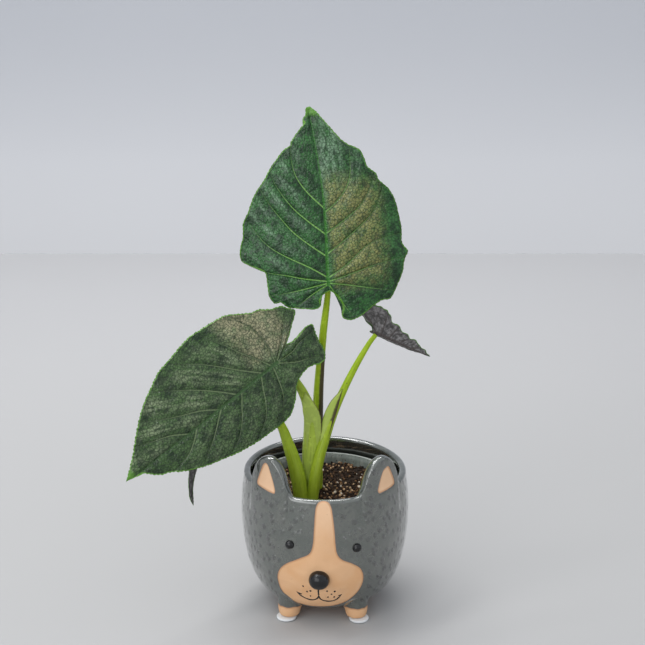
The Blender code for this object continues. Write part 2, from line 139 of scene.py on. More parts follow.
def distance_to(points, line):
    """Distance of each flat point to a line of flat points."""
    nearest = np.full(len(points), 1e9)
    for a, b in zip(line[:-1], line[1:]):
        d = b - a
        t = np.clip(((points - a) @ d) / max(d @ d, 1e-12), 0, 1)
        nearest = np.minimum(nearest, np.linalg.norm(points - a - t[:, None] * d, axis=1))
    return nearest


def inside_by(points, outline):
    """How far each flat point lies inside a closed outline; outside it is negative."""
    ring = np.vstack([outline, outline[:1]])
    x, y = points.T
    odd = np.zeros(len(points), bool)
    for (x0, y0), (x1, y1) in zip(ring[:-1], ring[1:]):
        crossing = (y0 > y) != (y1 > y)
        odd ^= crossing & (x < (x1 - x0) * (y - y0) / (y1 - y0 + 1e-12) + x0)
    return np.where(odd, 1, -1) * distance_to(points, ring)


def smooth(low, high, x):
    """0 at low, 1 at high, and an S-shaped ramp between them. Low may be the greater."""
    t = np.clip((x - low) / (high - low), 0, 1)
    return t * t * (3 - 2 * t)


# %% [markdown]
# ## A small kit for materials
# Real surfaces are never one flat colour. The helpers wire up a Principled shader and the noise
# that drives it, measured in millimetres, so that a 0.3 mm grain stays 0.3 mm whatever the scale.

# %% Material helpers
class Paint:
    """A material being wired up. Sizes given to its textures are in millimetres."""

    def __init__(
        self, name, roughness=0.5, specular=0.5, coat_roughness=0.03, coat_ior=1.5, subsurface=0.0
    ):
        self.material = bpy.data.materials.new(name)
        self.material.use_nodes = True
        self.tree = self.material.node_tree
        self.shader = self.tree.nodes["Principled BSDF"]
        self.shader.inputs["Roughness"].default_value = roughness
        self.shader.inputs["Specular IOR Level"].default_value = specular
        self.shader.inputs["Coat Roughness"].default_value = coat_roughness
        self.shader.inputs["Coat IOR"].default_value = coat_ior
        self.shader.inputs["Subsurface Weight"].default_value = subsurface
        self.shader.inputs["Subsurface Radius"].default_value = (1.0, 1.0, 0.6)
        self.shader.inputs["Subsurface Scale"].default_value = 0.001
        self.place = self.node("ShaderNodeTexCoord").outputs["Object"]
        self.relief = None

    def node(self, kind, **settings):
        made = self.tree.nodes.new(kind)
        for key, value in settings.items():
            setattr(made, key, value)
        return made

    def set(self, socket, value):
        if isinstance(value, bpy.types.NodeSocket):
            self.tree.links.new(value, socket)
        elif isinstance(value, tuple) and len(value) == 3 and socket.type == "RGBA":
            socket.default_value = (*value, 1.0)
        else:
            socket.default_value = value

    def number(self, name):
        """A number stored on the mesh's points."""
        return self.node("ShaderNodeAttribute", attribute_name=name).outputs["Fac"]

    def calc(self, kind, *values):
        """One step of arithmetic, such as ADD or MULTIPLY."""
        made = self.node("ShaderNodeMath", operation=kind)
        for socket, value in zip(made.inputs, values):
            self.set(socket, value)
        return made.outputs[0]

    def ramp(self, value, low, high, bottom=0.0, top=1.0):
        """Bottom below low, top above high, and smooth between them."""
        made = self.node("ShaderNodeMapRange", interpolation_type="SMOOTHSTEP")
        for key, v in (
            ("Value", value), ("From Min", low), ("From Max", high), ("To Min", bottom), ("To Max", top)
        ):
            self.set(made.inputs[key], v)
        return made.outputs[0]

    def stretched(self, sx, sy, sz, place=None):
        """A place scaled along each axis; a small scale draws a pattern out long."""
        made = self.node("ShaderNodeMapping")
        self.set(made.inputs["Vector"], place or self.place)
        made.inputs["Scale"].default_value = (sx, sy, sz)
        return made.outputs[0]

    def noise(self, size, detail=3.0, place=None, rough=0.5):
        """Cloudy variation whose patches are about this many millimetres across."""
        made = self.node("ShaderNodeTexNoise")
        self.set(made.inputs["Vector"], place or self.place)
        made.inputs["Scale"].default_value = 1000.0 / size if place is None else 1.0 / size
        made.inputs["Detail"].default_value = detail
        made.inputs["Roughness"].default_value = rough
        return made.outputs["Fac"]

    def cells(self, size, feature="F1", place=None, random=1.0, flat=False):
        """Distance from the middle of the nearest cell, or from its edge."""
        made = self.node("ShaderNodeTexVoronoi", feature=feature, voronoi_dimensions="2D" if flat else "3D")
        self.set(made.inputs["Vector"], place or self.place)
        made.inputs["Scale"].default_value = 1000.0 / size if place is None else 1.0 / size
        made.inputs["Randomness"].default_value = random
        return made.outputs["Distance"]

    def vector(self, x, y):
        made = self.node("ShaderNodeCombineXYZ")
        for socket, value in zip(made.inputs, (x, y)):
            self.set(socket, value)
        return made.outputs[0]

    def blend(self, share, first, second):
        """The first colour where share is 0, and the second where it is 1."""
        made = self.node("ShaderNodeMix", data_type="RGBA")
        self.set(made.inputs["Factor"], share)
        self.set([s for s in made.inputs if s.name == "A" and s.type == "RGBA"][0], first)
        self.set([s for s in made.inputs if s.name == "B" and s.type == "RGBA"][0], second)
        return [s for s in made.outputs if s.type == "RGBA"][0]

    def tone(self, colour, share, low, high):
        """The colour made darker or lighter by a number from 0 to 1."""
        factor = self.ramp(share, 0.25, 0.75, low, high)
        made = self.node("ShaderNodeVectorMath", operation="SCALE")
        self.set(made.inputs[0], colour if isinstance(colour, bpy.types.NodeSocket) else self.flat(colour))
        self.set(made.inputs["Scale"], factor)
        return made.outputs[0]

    def flat(self, colour):
        made = self.node("ShaderNodeRGB")
        made.outputs[0].default_value = (*colour, 1.0)
        return made.outputs[0]

    def colour(self, value):
        self.set(self.shader.inputs["Base Color"], value)

    def rough(self, value):
        self.set(self.shader.inputs["Roughness"], value)

    def bump(self, height, millimetres):
        """Adds relief: a height of 1 stands this many millimetres proud."""
        made = self.node("ShaderNodeBump")
        made.inputs["Distance"].default_value = millimetres * 0.001
        self.set(made.inputs["Height"], height)
        if self.relief:
            self.set(made.inputs["Normal"], self.relief)
        self.relief = made.outputs[0]
        self.set(self.shader.inputs["Normal"], self.relief)


# %% [markdown]
# ## The planter's walls
# The planter was slip-cast: a round tub, widest three quarters of the way up, drawn in at its foot,
# with two ears rising from the rim at its front and a muzzle that swells out gently. It could be
# sculpted, but one curve of radius against height gives the tub and stays easy to measure. The ears
# are extra rim height with soft shoulders.

# %% Shape of the tub
WIDEST, BASE, RIM, WALL, FLOOR = 55.2, 7.5, 90.0, 4.8, 13.0
EAR_TURN, EAR_HALF, EAR_RISE = math.radians(43.5), math.radians(17.6), 23.2
MUZZLE_RISE, EAR_SWELL = 1.4, 1.6     # how far the muzzle and the ears stand out from the tub
TUB = np.array(                       # share of the height above the base, share of the widest radius
    (
        (0.000, 0.600), (0.018, 0.672), (0.055, 0.752), (0.115, 0.824), (0.200, 0.886), (0.309, 0.938),
        (0.455, 0.975), (0.612, 0.997), (0.733, 1.000), (0.879, 0.987), (1.000, 0.962), (1.120, 0.945),
        (1.360, 0.930),
    )
)


def tub_radius(z):
    share = (np.asarray(z, float) - BASE) / (RIM - BASE)
    knots = np.linspace(0, TUB[-1, 0], 300)
    shape = np.interp(knots, TUB[:, 0], TUB[:, 1])
    for _ in range(40):
        shape[1:-1] = (shape[:-2] + 2 * shape[1:-1] + shape[2:]) / 4
    return WIDEST * np.interp(share, knots, shape)


def turned(a, b):
    """The angle from b to a, by the shorter way round."""
    return (a - b + np.pi) % (2 * np.pi) - np.pi


def ear_share(angle):
    """How much of an ear's full rise stands at this angle, from 0 to 1."""
    share = np.zeros_like(np.asarray(angle, float))
    for side in (-1, 1):
        t = np.minimum(1, np.abs(turned(angle, side * EAR_TURN)) / EAR_HALF)
        share = np.maximum(share, (1 - t**2.2) ** 0.66)
    return share


def sharp_rim(angle):
    return RIM + 1.2 + 1.4 * (1 - np.cos(angle)) + EAR_RISE * ear_share(angle)


def rim_height(angle):
    """The rim, with the corners where it meets the ears rubbed soft by a wet sponge."""
    around = np.linspace(-np.pi, np.pi, 1441)
    heights = sharp_rim(around)
    for _ in range(110):
        heights[1:-1] = (heights[:-2] + 2 * heights[1:-1] + heights[2:]) / 4
    return np.interp(turned(angle, 0.0), around, heights)


def cavity_radius(z):
    corner = np.maximum(0, 1 - (z - FLOOR) / 7.0)
    return tub_radius(z) - WALL - 4.5 * corner**2


def outer_radius(angle, z):
    ear = EAR_SWELL * np.minimum(1, 2.5 * ear_share(angle)) * np.clip(1 - (RIM - z) / 18, 0, 1)
    across = WIDEST * turned(angle, FACE)
    muzzle = MUZZLE_RISE * np.exp(-((across / 19) ** 2) - ((z - 38) / 13) ** 2)
    return tub_radius(z) + ear + muzzle


def on_pot(angle, radius, z):
    """A place at this angle from the front, distance from the axis and height."""
    return np.stack(np.broadcast_arrays(radius * np.sin(angle), -radius * np.cos(angle), z), -1)


print("tub radius at base and rim, mm:", [round(float(tub_radius(z)), 1) for z in (BASE, RIM)])


# %% [markdown]
# ## The face's bare clay
# The muzzle, the blaze up the forehead and the inside of each ear were waxed before glazing, so the
# glaze drew back and left pale matte clay. Each patch is a closed curve drawn on the wall: distance
# round the pot from the middle of the face, and height. The mesh stores how far inside a patch each
# point lies, and the glaze gets its thick rounded edge from that.

# %% Patches of bare clay
MUZZLE = through(
    [
        (1.4, 90.9), (-1.8, 89.9), (-3.3, 87.2), (-3.9, 82.6), (-4.4, 73), (-5.2, 62), (-7.6, 55.6),
        (-14.5, 51.4), (-23.9, 45.8), (-30.0, 39.2), (-32.2, 31.5), (-30.9, 22.5), (-24.6, 15.9),
        (-13.8, 12.9), (-1.8, 12.6), (10.6, 14.0), (20.8, 18.4), (27.6, 26.4), (29.2, 35.0),
        (26.4, 42.7), (20.1, 47.7), (13.0, 51.5), (9.9, 56), (8.9, 62), (8.1, 73), (7.0, 82.6),
        (6.2, 87.2), (4.6, 89.9),
    ],
    150, closed=True
)
EAR_LEFT = through(
    [
        (-41.2, 110.2), (-43.4, 107.6), (-48.0, 97), (-47.4, 94.4), (-45.2, 93.9), (-34.0, 92.4),
        (-31.8, 93.6), (-33.4, 99), (-37.4, 107.8), (-39.2, 110.2)
    ],
    80, closed=True
)
EAR_RIGHT = through(
    [
        (46.6, 107.0), (43.4, 104.6), (39.2, 95), (39.2, 92.8), (41.0, 92.0), (53.0, 93.4),
        (54.6, 95.2), (53.6, 99), (50.2, 105.8), (48.6, 107.4)
    ],
    80, closed=True
)


def round_the_pot(angle, z):
    """Distance round the pot from the middle of the face, and height."""
    return np.stack(np.broadcast_arrays(WIDEST * turned(angle, FACE), z), -1).reshape(-1, 2)


print("muzzle and blaze, mm wide and tall:", np.ptp(MUZZLE, axis=0).round(1))


# %% [markdown]
# ## One skin from foot to floor
# The tub's mesh starts under its base, climbs the outer wall, rolls over the lip and runs down the
# inside to the floor. Two shells glued together would leave a seam at the lip, so it is one sheet.
# Columns crowd together at the sides of the ears, where the rim turns sharply.

# %% Columns round the tub, and lines up its wall
LIP = 2.4          # the lip rolls over from this far below the rim
COVE = 5.0         # the lowest part of the inside, where the wall curves into the floor
crowded = np.sin(np.linspace(-np.pi / 2, np.pi / 2, 79)) * EAR_HALF
columns = np.unique(np.round(np.concatenate([
    np.linspace(-EAR_TURN + EAR_HALF, EAR_TURN - EAR_HALF, 92), crowded - EAR_TURN, crowded + EAR_TURN,
    np.linspace(EAR_TURN + EAR_HALF, 2 * np.pi - EAR_TURN - EAR_HALF, 146),
]), 6))[:-1]       # the last column is the first again
rise = np.concatenate([[0, 0.004, 0.009], np.linspace(0.016, 1, 118)])
edge = rim_height(columns) - LIP


def wall_line(share):
    """A line round the outer wall; low ones are level and high ones follow the rim."""
    level = BASE + share * (RIM - LIP - BASE)
    return level + smooth(0.55, 1.0, share) * (edge - RIM + LIP)


# %% [markdown]
# Each row carries a zone: 0 under the base, 1 on the outer wall, between 1 and 2 over the lip, and 2
# inside. The glaze reads it later, because the inside is painted darker as shade and the lip breaks rusty.

# %% Rows from the base, over the lip, to the floor
rows = []
for radius in np.linspace(0.6, tub_radius(BASE) - 0.5, 16):
    rows.append((on_pot(columns, radius, BASE + 0.25 * np.sin(radius / 9)), 0.0))
for share in rise:
    z = wall_line(share)
    rows.append((on_pot(columns, outer_radius(columns, z), z), 1.0))
outer, inner = outer_radius(columns, edge), cavity_radius(edge)
for t in np.linspace(0, np.pi, 12)[1:-1]:
    radius = (outer + inner) / 2 + (outer - inner) / 2 * np.cos(t)
    rows.append((on_pot(columns, radius, edge + LIP * np.sin(t) ** 0.8), 1.0 + t / np.pi))
for share in np.linspace(1, 0, 52)[:-1]:
    z = FLOOR + COVE + share * (edge - FLOOR - COVE)
    rows.append((on_pot(columns, cavity_radius(z), z), 2.0))
for z in FLOOR + COVE * np.linspace(1, 0, 8):
    rows.append((on_pot(columns, cavity_radius(z), z), 2.0))
for radius in np.linspace(cavity_radius(FLOOR) - 1, 0.5, 12):
    rows.append((on_pot(columns, radius, FLOOR), 2.0))
print("tub:", len(rows), "rows of", len(columns), "points")

# %% [markdown]
# The bare patches lie a hair below the glaze, because glaze has thickness. Every point learns how far
# inside a patch it is, and the skin sinks there. On the lip a point's height says too little, so its
# distance over the lip is used instead.

# %% Sink the bare patches
NO_PATCH = -20.0   # far outside every patch
lip_rise = np.repeat([2.2 * np.pi * (zone - 1) if 1 < zone < 2 else 0.0 for _, zone in rows], len(columns))
skin = np.stack([points for points, _ in rows]).reshape(-1, 3)
side = np.repeat([zone for _, zone in rows], len(columns))
angle = np.tile(columns, len(rows))
height = skin[:, 2]
front = (side >= 1.0) & (side < 1.5)
spot = round_the_pot(angle, np.where(lip_rise > 0, np.tile(edge, len(rows)) + lip_rise, height))
bare = np.where(front, inside_by(spot, MUZZLE), NO_PATCH)
tuft = np.where(front, np.maximum(inside_by(spot, EAR_LEFT), inside_by(spot, EAR_RIGHT)), NO_PATCH)
outward = np.stack([np.sin(angle), -np.cos(angle), 0 * angle], -1)
sink = 0.28 * smooth(-0.7, 0.3, bare) + 0.55 * smooth(-0.6, 0.6, tuft)
skin = skin - outward * (sink * front)[:, None]

# %% [markdown]
# ## Feet
# Four stub feet were pressed on under the tub and the seam was smoothed with a wet finger. A cylinder
# pushed into the tub would meet it in a hard corner, so each foot is a short column whose top flares
# into the wall above it. The glaze stops half way down.

# %% Feet
FOOT_CIRCLE = float(tub_radius(11.9)) - 3.0
SPREAD = math.radians(35)             # each foot's angle from the middle of the face or of the back
FEET = {"front_left": FACE - SPREAD, "front_right": FACE + SPREAD,
        "back_left": FACE - math.pi + SPREAD, "back_right": FACE + math.pi - SPREAD}
FOOT_SIDES, FOOT_BOTTOM = 48, 1.9
FOOT_PROFILE = (                      # radius, and height above the foot's bottom
    (0.4, 0), (2.0, 0), (4.4, 0), (5.5, 0.05), (6.2, 0.35), (6.6, 0.9), (6.9, 1.8), (7.1, 2.8),
    (7.3, 3.8)
)
heights = np.linspace(BASE, 40, 400)
skin_radius = tub_radius(heights)


def skin_height(points):
    """The height of the tub's underside above or below these points."""
    return np.interp(np.hypot(points[:, 0], points[:, 1]), skin_radius, heights, left=BASE)


def foot(turn):
    around = circle(FOOT_SIDES)
    middle = on_pot(turn, FOOT_CIRCLE, 0.0)
    out = np.array((np.sin(turn), -np.cos(turn), 0.0))
    beside = np.array((np.cos(turn), np.sin(turn), 0.0))

    def ring(r):
        return middle + r * (np.cos(around)[:, None] * out + np.sin(around)[:, None] * beside)

    lines = []
    for r, z in FOOT_PROFILE:
        points = ring(r)
        points[:, 2] = FOOT_BOTTOM + z
        lines.append(points)
    start, corner, top = ring(7.45), ring(7.6), ring(9.8)
    corner[:, 2] = skin_height(corner) - 0.1
    top[:, 2] = skin_height(top) + 0.35
    start[:, 2] = np.maximum(FOOT_BOTTOM + 4.2, corner[:, 2] - 3.0)
    for t in np.linspace(0, 1, 11):
        lines.append((1 - t) ** 2 * start + 2 * t * (1 - t) * corner + t * t * top)
    return np.stack(lines).reshape(-1, 3), sheet_faces(len(lines), FOOT_SIDES, True)


print("feet stand", round(FOOT_CIRCLE, 1), "mm from the axis")

# %% [markdown]
# The tub and its feet were fired as one, so they are parts of one piece. Both carry the same numbers:
# how far inside bare clay a point is, where it lies round and up the wall, and its zone. The left side
# has a number of its own, so that its strokes don't mirror the right side's.

# %% Tub and feet as one piece
GLAZE_LINE = 9.4   # the feet are bare below this height
foot_parts = []
for turn in FEET.values():
    points, faces = foot(turn)
    x, y, z = points.T
    numbers = {
        "clay": (GLAZE_LINE - z) + 0.35 * np.sin(x * 0.9 + 1) * np.cos(y * 0.7),
        "wall_x": WIDEST * np.abs(turned(np.arctan2(x, -y), FACE)), "wall_z": z, "zone": 1.0,
    }
    foot_parts.append((points, faces, numbers))
under_base = 1.5 - 0.04 * np.hypot(skin[:, 0], skin[:, 1])
tub_numbers = {
    "clay": np.where(side == 0.0, under_base, np.maximum(bare, tuft)),
    "wall_x": np.abs(spot[:, 0]), "wall_z": height,
    "left": np.where(turned(angle, FACE) > 0, 0.0, 61.0), "zone": side,
}
parts = [(skin, sheet_faces(len(rows), len(columns), True)[:, ::-1], tub_numbers)] + foot_parts

# %% [markdown]
# ## Glaze and clay
# The glaze is a grey-green gloss over a wall that was pressed with hundreds of small slanted strokes,
# like fur: deep on the sides, faint on the forehead. Glass pools dark in the strokes, breaks thin and
# rusty inside the lip, and browns at the edges of the bare clay. The clay is matte, with fine grain.
# Carving every stroke would need millions of faces, so they are a pattern of cells, sunk as relief.
# A clear coat over the glaze gives it the hard shine of glass.

# %% Stoneware material
stoneware = Paint("stoneware_glaze", roughness=0.1, specular=0.6, coat_roughness=0.045, coat_ior=1.95)
p = stoneware
across, up, zone = p.number("wall_x"), p.number("wall_z"), p.number("zone")
slant = p.vector(
    p.calc("ADD", p.calc("ADD", across, p.number("left")), p.calc("MULTIPLY", up, 0.55)),
    p.calc("SUBTRACT", up, p.calc("MULTIPLY", across, 0.2))
)
strokes = p.cells(1.0, place=p.stretched(0.175, 0.125, 1.0, slant), random=0.85, flat=True)
wobble = p.calc("MULTIPLY", p.calc("SUBTRACT", p.noise(3.4, 1), 0.5), 0.22)
stroke = p.ramp(p.calc("ADD", strokes, wobble), 0.08, 0.36, 1.0, 0.0)
side_share = p.ramp(across, 14.0, 42.0, 0.0, 1.0)
brow = p.calc("MULTIPLY", p.ramp(up, 56.0, 66.0), p.ramp(up, 84.0, 92.0, 1.0, 0.0))
brow = p.calc(
    "MULTIPLY", brow, p.calc("MULTIPLY", p.ramp(across, 6.0, 12.0), p.ramp(p.noise(11, 1), 0.42, 0.50))
)
fur = p.calc("MAXIMUM", side_share, p.calc("MULTIPLY", brow, 0.65))
fur = p.calc("MULTIPLY", fur, p.ramp(p.number("clay"), -6.0, -2.0, 1.0, 0.0))
outside = p.calc("MULTIPLY", p.ramp(zone, 1.05, 1.3, 1.0, 0.0), p.ramp(across, 168.0, 171.0, 1.0, 0.0))
pressed = p.calc("MULTIPLY", p.calc("MULTIPLY", stroke, fur), outside)
glassy = p.ramp(p.number("clay"), -0.35, 0.1, 1.0, 0.0)
tint = p.blend(p.ramp(p.noise(9, 4), 0.35, 0.7), (0.052, 0.064, 0.052), (0.080, 0.088, 0.074))
tint = p.blend(p.ramp(p.noise(2.2, 3), 0.52, 0.7), tint, (0.044, 0.052, 0.046))
# Painted shade: the inside of the tub is darkened.
tint = p.blend(p.calc("MULTIPLY", p.ramp(zone, 1.9, 2.0), 0.7), tint, (0.020, 0.020, 0.017))
tint = p.blend(p.calc("MULTIPLY", pressed, 0.9), tint, (0.016, 0.018, 0.017))
lip = p.calc("MULTIPLY", p.ramp(zone, 1.62, 1.8), p.ramp(zone, 1.88, 1.99, 1.0, 0.0))
lip = p.calc("MULTIPLY", lip, p.ramp(across, 30.0, 60.0, 1.0, 0.0))
tint = p.blend(p.calc("MULTIPLY", lip, p.ramp(p.noise(6, 2), 0.4, 0.6, 0.3, 0.9)), tint, (0.30, 0.14, 0.065))
tint = p.blend(p.ramp(p.number("clay"), -1.1, -0.3, 0.0, 0.75), tint, (0.10, 0.085, 0.075))
raw = p.blend(p.noise(0.5, 2), (0.720, 0.425, 0.222), (0.780, 0.480, 0.270))
raw = p.blend(p.ramp(p.noise(14, 2), 0.45, 0.7, 0.0, 0.5), raw, (0.720, 0.390, 0.180))
raw = p.blend(p.ramp(up, 55.0, 90.0, 0.0, 0.55), raw, (0.860, 0.600, 0.400))
raw = p.blend(p.ramp(p.cells(5.5), 0.035, 0.06, 0.6, 0.0), raw, (0.30, 0.16, 0.09))
raw = p.blend(p.ramp(p.number("clay"), 0.1, 1.3, 0.75, 0.0), raw, (0.50, 0.24, 0.11))
p.colour(p.blend(glassy, raw, tint))
p.rough(p.blend(glassy, (0.85, 0.85, 0.85), (0.12, 0.12, 0.12)))
p.set(p.shader.inputs["Coat Weight"], glassy)
p.bump(glassy, 0.3)
p.bump(pressed, -1.5)
p.bump(p.noise(9.0, 1), 1.0)
p.bump(p.calc("MULTIPLY", p.noise(0.35, 3), p.calc("SUBTRACT", 1.0, glassy)), 0.05)
add_piece("planter", parts, [stoneware.material], ["planter_body"])

# %% [markdown]
# ## Nose, eyes, mouth and whiskers
# The nose and the eyes are beads of black glaze, domed and shiny, with the odd pit where a bubble
# burst. A squashed sphere would cut into the curved wall unevenly, so each dome is laid out on the
# wall itself and a little sunk at its rim.

# %% Beads
black = Paint("black_glaze", roughness=0.08, specular=0.5)
black.colour(
    black.blend(
        black.ramp(black.noise(1.6, 3), 0.5, 0.75), (0.0035, 0.0038, 0.0045), (0.010, 0.011, 0.013)
    )
)
black.rough(black.ramp(black.noise(0.9, 2), 0.45, 0.7, 0.06, 0.22))
black.bump(black.ramp(black.cells(1.5), 0.05, 0.22), 0.05)
black.bump(black.noise(3.0, 1), 0.07)


def bead(centre_angle, centre_z, diameter, proud, sink_in, lumpy):
    """A dome on the wall that stands this proud; lumpy is how far its outline strays from a circle."""
    rho = np.sin(np.linspace(0, 1, 26) * np.pi / 2)[1:]
    around = circle(64)
    q, a = np.meshgrid(rho, around, indexing="ij")
    wobble = 1 + lumpy * (0.6 * np.sin(2 * a + 0.7) + 0.4 * np.sin(3 * a + 2.0))
    x, y = diameter / 2 * q * wobble * np.cos(a), diameter / 2 * q * wobble * np.sin(a)
    angle, z = centre_angle + x / WIDEST, centre_z + y
    dome = (1 - q**2.1) ** 0.5 * proud - sink_in * q**6
    points = on_pot(angle, outer_radius(angle, z) + 0.25 + dome, z)
    tip = on_pot(centre_angle, outer_radius(centre_angle, centre_z) + 0.25 + proud, centre_z)
    points = np.concatenate([np.repeat(tip[None, None], len(around), 1), points])
    return points.reshape(-1, 3), sheet_faces(len(rho) + 1, len(around), True), {}


EYES = {"eye_left": (FACE - math.radians(21.2), 60.6), "eye_right": (FACE + math.radians(23.8), 58.8)}
add_piece(
    "nose_bead", [bead(FACE - 1.4 / WIDEST, 37.4, 13.8, 6.6, 0.8, 0.012)], [black.material],
    ["nose"]
)
for name, (turn, z) in EYES.items():
    add_piece(name + "_bead", [bead(turn, z, 6.0, 2.7, 0.7, 0.02)], [black.material], [name])

# %% [markdown]
# The mouth and the whisker dots were painted with the same black in a fine brush. A flat decal would
# have no edge to catch the light, so each stroke is a low strip with a rounded back, thin at its ends.
# The clay under the face is sunk a little, and so the paint is too.

# %% Painted mouth and whiskers
CLAY_SINK, PAINT_EDGE, PAINT_LIFT = 0.28, 0.12, 0.16


def brushed(points, width):
    """A stroke of glaze along a line drawn on the wall, thin at its ends."""
    line = through(points, 60)
    t = np.linspace(0, 1, 60)
    ahead = np.gradient(line, axis=0)
    ahead /= np.linalg.norm(ahead, axis=1)[:, None]
    beside = np.stack([-ahead[:, 1], ahead[:, 0]], 1)
    half = width / 2 * np.clip(np.minimum(t, 1 - t) * 7, 0.25, 1) ** 0.5 * (1 + 0.12 * np.sin(17 * t))
    strips = []
    for s in np.linspace(-1, 1, 9):
        x, z = (line + beside * (half * s)[:, None]).T
        turn = FACE + x / WIDEST
        proud = (PAINT_LIFT + PAINT_EDGE) * (1 - s * s) ** 0.5
        strips.append(on_pot(turn, outer_radius(turn, z) - CLAY_SINK - PAINT_EDGE + proud, z))
    return np.stack(strips).reshape(-1, 3), sheet_faces(9, 60)[:, ::-1], {}


def dot(x, z, size):
    a = circle(16)
    rings = []
    for q in (0.02, 0.4, 0.75, 1.0):
        turn, up = FACE + (x + size * q * np.cos(a)) / WIDEST, z + size * q * np.sin(a)
        rings.append(on_pot(turn, outer_radius(turn, up) - 0.36 + 0.22 * (1 - q * q) ** 0.5, up))
    return np.stack(rings).reshape(-1, 3), sheet_faces(4, 16, True), {}


marks = [
    brushed([(-2.0, 31.4), (-2.2, 27.5), (-2.1, 24.0)], 1.45),
    brushed(
        [
            (-2.1, 24.6), (-3.0, 21.8), (-5.6, 20.0), (-9.4, 19.7), (-13.6, 21.2), (-16.4, 23.2),
            (-18.3, 25.6)
        ],
        1.4
    ),
    brushed(
        [
            (-2.1, 24.6), (-1.0, 21.0), (2.4, 19.2), (7.2, 18.8), (11.0, 20.2), (13.2, 22.6),
            (14.2, 24.3)
        ],
        1.4
    ),
    brushed([(-18.2, 24.9), (-16.4, 24.5), (-14.4, 24.0)], 1.1),
    brushed([(12.0, 23.6), (13.4, 23.9), (14.6, 24.4)], 1.1),
]
whiskers = [
    (-12.7, 31.2), (-10.3, 26.9), (-7.8, 27.8), (-8.2, 23.2), (3.8, 28.2), (9.2, 27.6), (7.0, 25.4),
    (4.6, 22.8), (9.2, 22.6)
]
marks += [dot(x, z, 0.74 + 0.08 * (n % 3)) for n, (x, z) in enumerate(whiskers)]
add_piece("painted_mouth", marks, [black.material])

# %% [markdown]
# ## Foot pads
# A white felt-and-rubber disc is stuck under each foot so that the fired clay doesn't scratch a table.
# It sits off centre, so that a rim of it shows in front of the foot. A cylinder's sharp edges would
# look cut from card, so a profile with a rounded edge is turned instead.

# %% Pads
PAD_SHIFT = 3.2    # each pad stands this much further out than its foot
PAD_PROFILE = (    # radius and height
    (0.3, 0.02), (3.2, 0.02), (6.0, 0.02), (6.3, 0.25), (6.4, 0.7), (6.35, 1.2), (6.1, 1.5),
    (5.6, 1.6), (3.0, 1.6), (0.3, 1.6)
)
pad_paint = Paint("white_pad", roughness=0.75)
pad_paint.colour(pad_paint.blend(pad_paint.noise(0.6, 3), (0.70, 0.73, 0.74), (0.80, 0.82, 0.83)))
pad_paint.bump(pad_paint.noise(0.35, 3), 0.08)
for name, turn in FEET.items():
    a = circle(72)
    centre = on_pot(turn, FOOT_CIRCLE + PAD_SHIFT, 0.0)
    rings = []
    for r, z in PAD_PROFILE:
        r = r * (1 + 0.006 * np.sin(5 * a + turn))
        rings.append(centre + np.stack([r * np.cos(a), r * np.sin(a), 0 * a + z], 1))
    pad = (np.stack(rings).reshape(-1, 3), sheet_faces(len(rings), len(a), True), {})
    add_piece("pad_" + name, [pad], [pad_paint.material], ["foot_pad_" + name])

# %% [markdown]
# ## Nursery pot
# Inside the planter stands the thin grey-green plastic pot the plant was raised in. Only its rolled
# lip and the band under it show, with crumbs of mix and dried water marks on them. Its wall follows
# from the planter's inside, less a clearance, so it can't poke through.

# %% The nursery pot's size and plastic
TOP, NURSERY_BASE, PLASTIC = 84.0, 13.3, 1.2
CLEARANCE, LIP_REACH = 2.0, 1.4       # room inside the planter, and how far the lip stands out


def nursery_radius(z):
    low = cavity_radius(NURSERY_BASE) - CLEARANCE
    high = cavity_radius(TOP) - LIP_REACH - CLEARANCE
    return low + (high - low) * (z - NURSERY_BASE) / (TOP - NURSERY_BASE)


plastic = Paint("nursery_plastic", roughness=0.38, specular=0.45)
p = plastic
drips = p.noise(3.0, 3, place=p.stretched(1000, 1000, 260))
shade = p.blend(p.ramp(drips, 0.4, 0.7), (0.160, 0.185, 0.165), (0.225, 0.245, 0.220))
shade = p.blend(p.ramp(p.noise(1.6, 4), 0.60, 0.70), shade, (0.060, 0.045, 0.035))
shade = p.blend(p.ramp(p.cells(3.4), 0.10, 0.16, 0.85, 0.0), shade, (0.035, 0.022, 0.014))
p.colour(p.blend(p.ramp(p.number("rim"), 0.3, 0.9), shade, (0.42, 0.45, 0.41)))
p.rough(p.ramp(p.noise(4, 3), 0.3, 0.7, 0.28, 0.55))
p.bump(p.noise(0.8, 2), 0.05)
p.bump(p.ramp(p.cells(3.4), 0.08, 0.18, 1.0, 0.0), 0.25)


# %% [markdown]
# The pot is one profile turned round the axis: under the base, up the outside, out under the band,
# over the rolled lip, and down the inside. A third number in each step marks the top of the lip,
# which is coloured paler. Thin plastic is never quite round, so the upper rings wave a little.

# %% The nursery pot's profile, turned
LIP_BAND, LINER_SIDES = 5, 240
profile = [
    (0.5, NURSERY_BASE, 0), (20, NURSERY_BASE, 0), (nursery_radius(NURSERY_BASE) - 1, NURSERY_BASE, 0),
    (nursery_radius(NURSERY_BASE), NURSERY_BASE + 1, 0)
]
profile += [(nursery_radius(z), z, 0) for z in np.linspace(16, TOP - LIP_BAND - 0.2, 30)]
for out, z in ((0.9, 0.1), (1.35, 0.5), (LIP_REACH, 1.5)):
    profile.append((nursery_radius(TOP - LIP_BAND) + out, TOP - LIP_BAND + z, 0))
lip_middle = nursery_radius(TOP) + 0.35
for t in np.linspace(-0.3, math.pi, 16):
    profile.append((lip_middle + 1.05 * math.cos(t), TOP - 1.0 + math.sin(t), math.sin(t) ** 2))
profile += [(nursery_radius(z) - PLASTIC, z, 0) for z in np.linspace(TOP - 1.6, 16, 34)]
profile += [(20, 14.5, 0), (0.5, 14.5, 0)]
around = circle(LINER_SIDES)
rings, rims = [], []
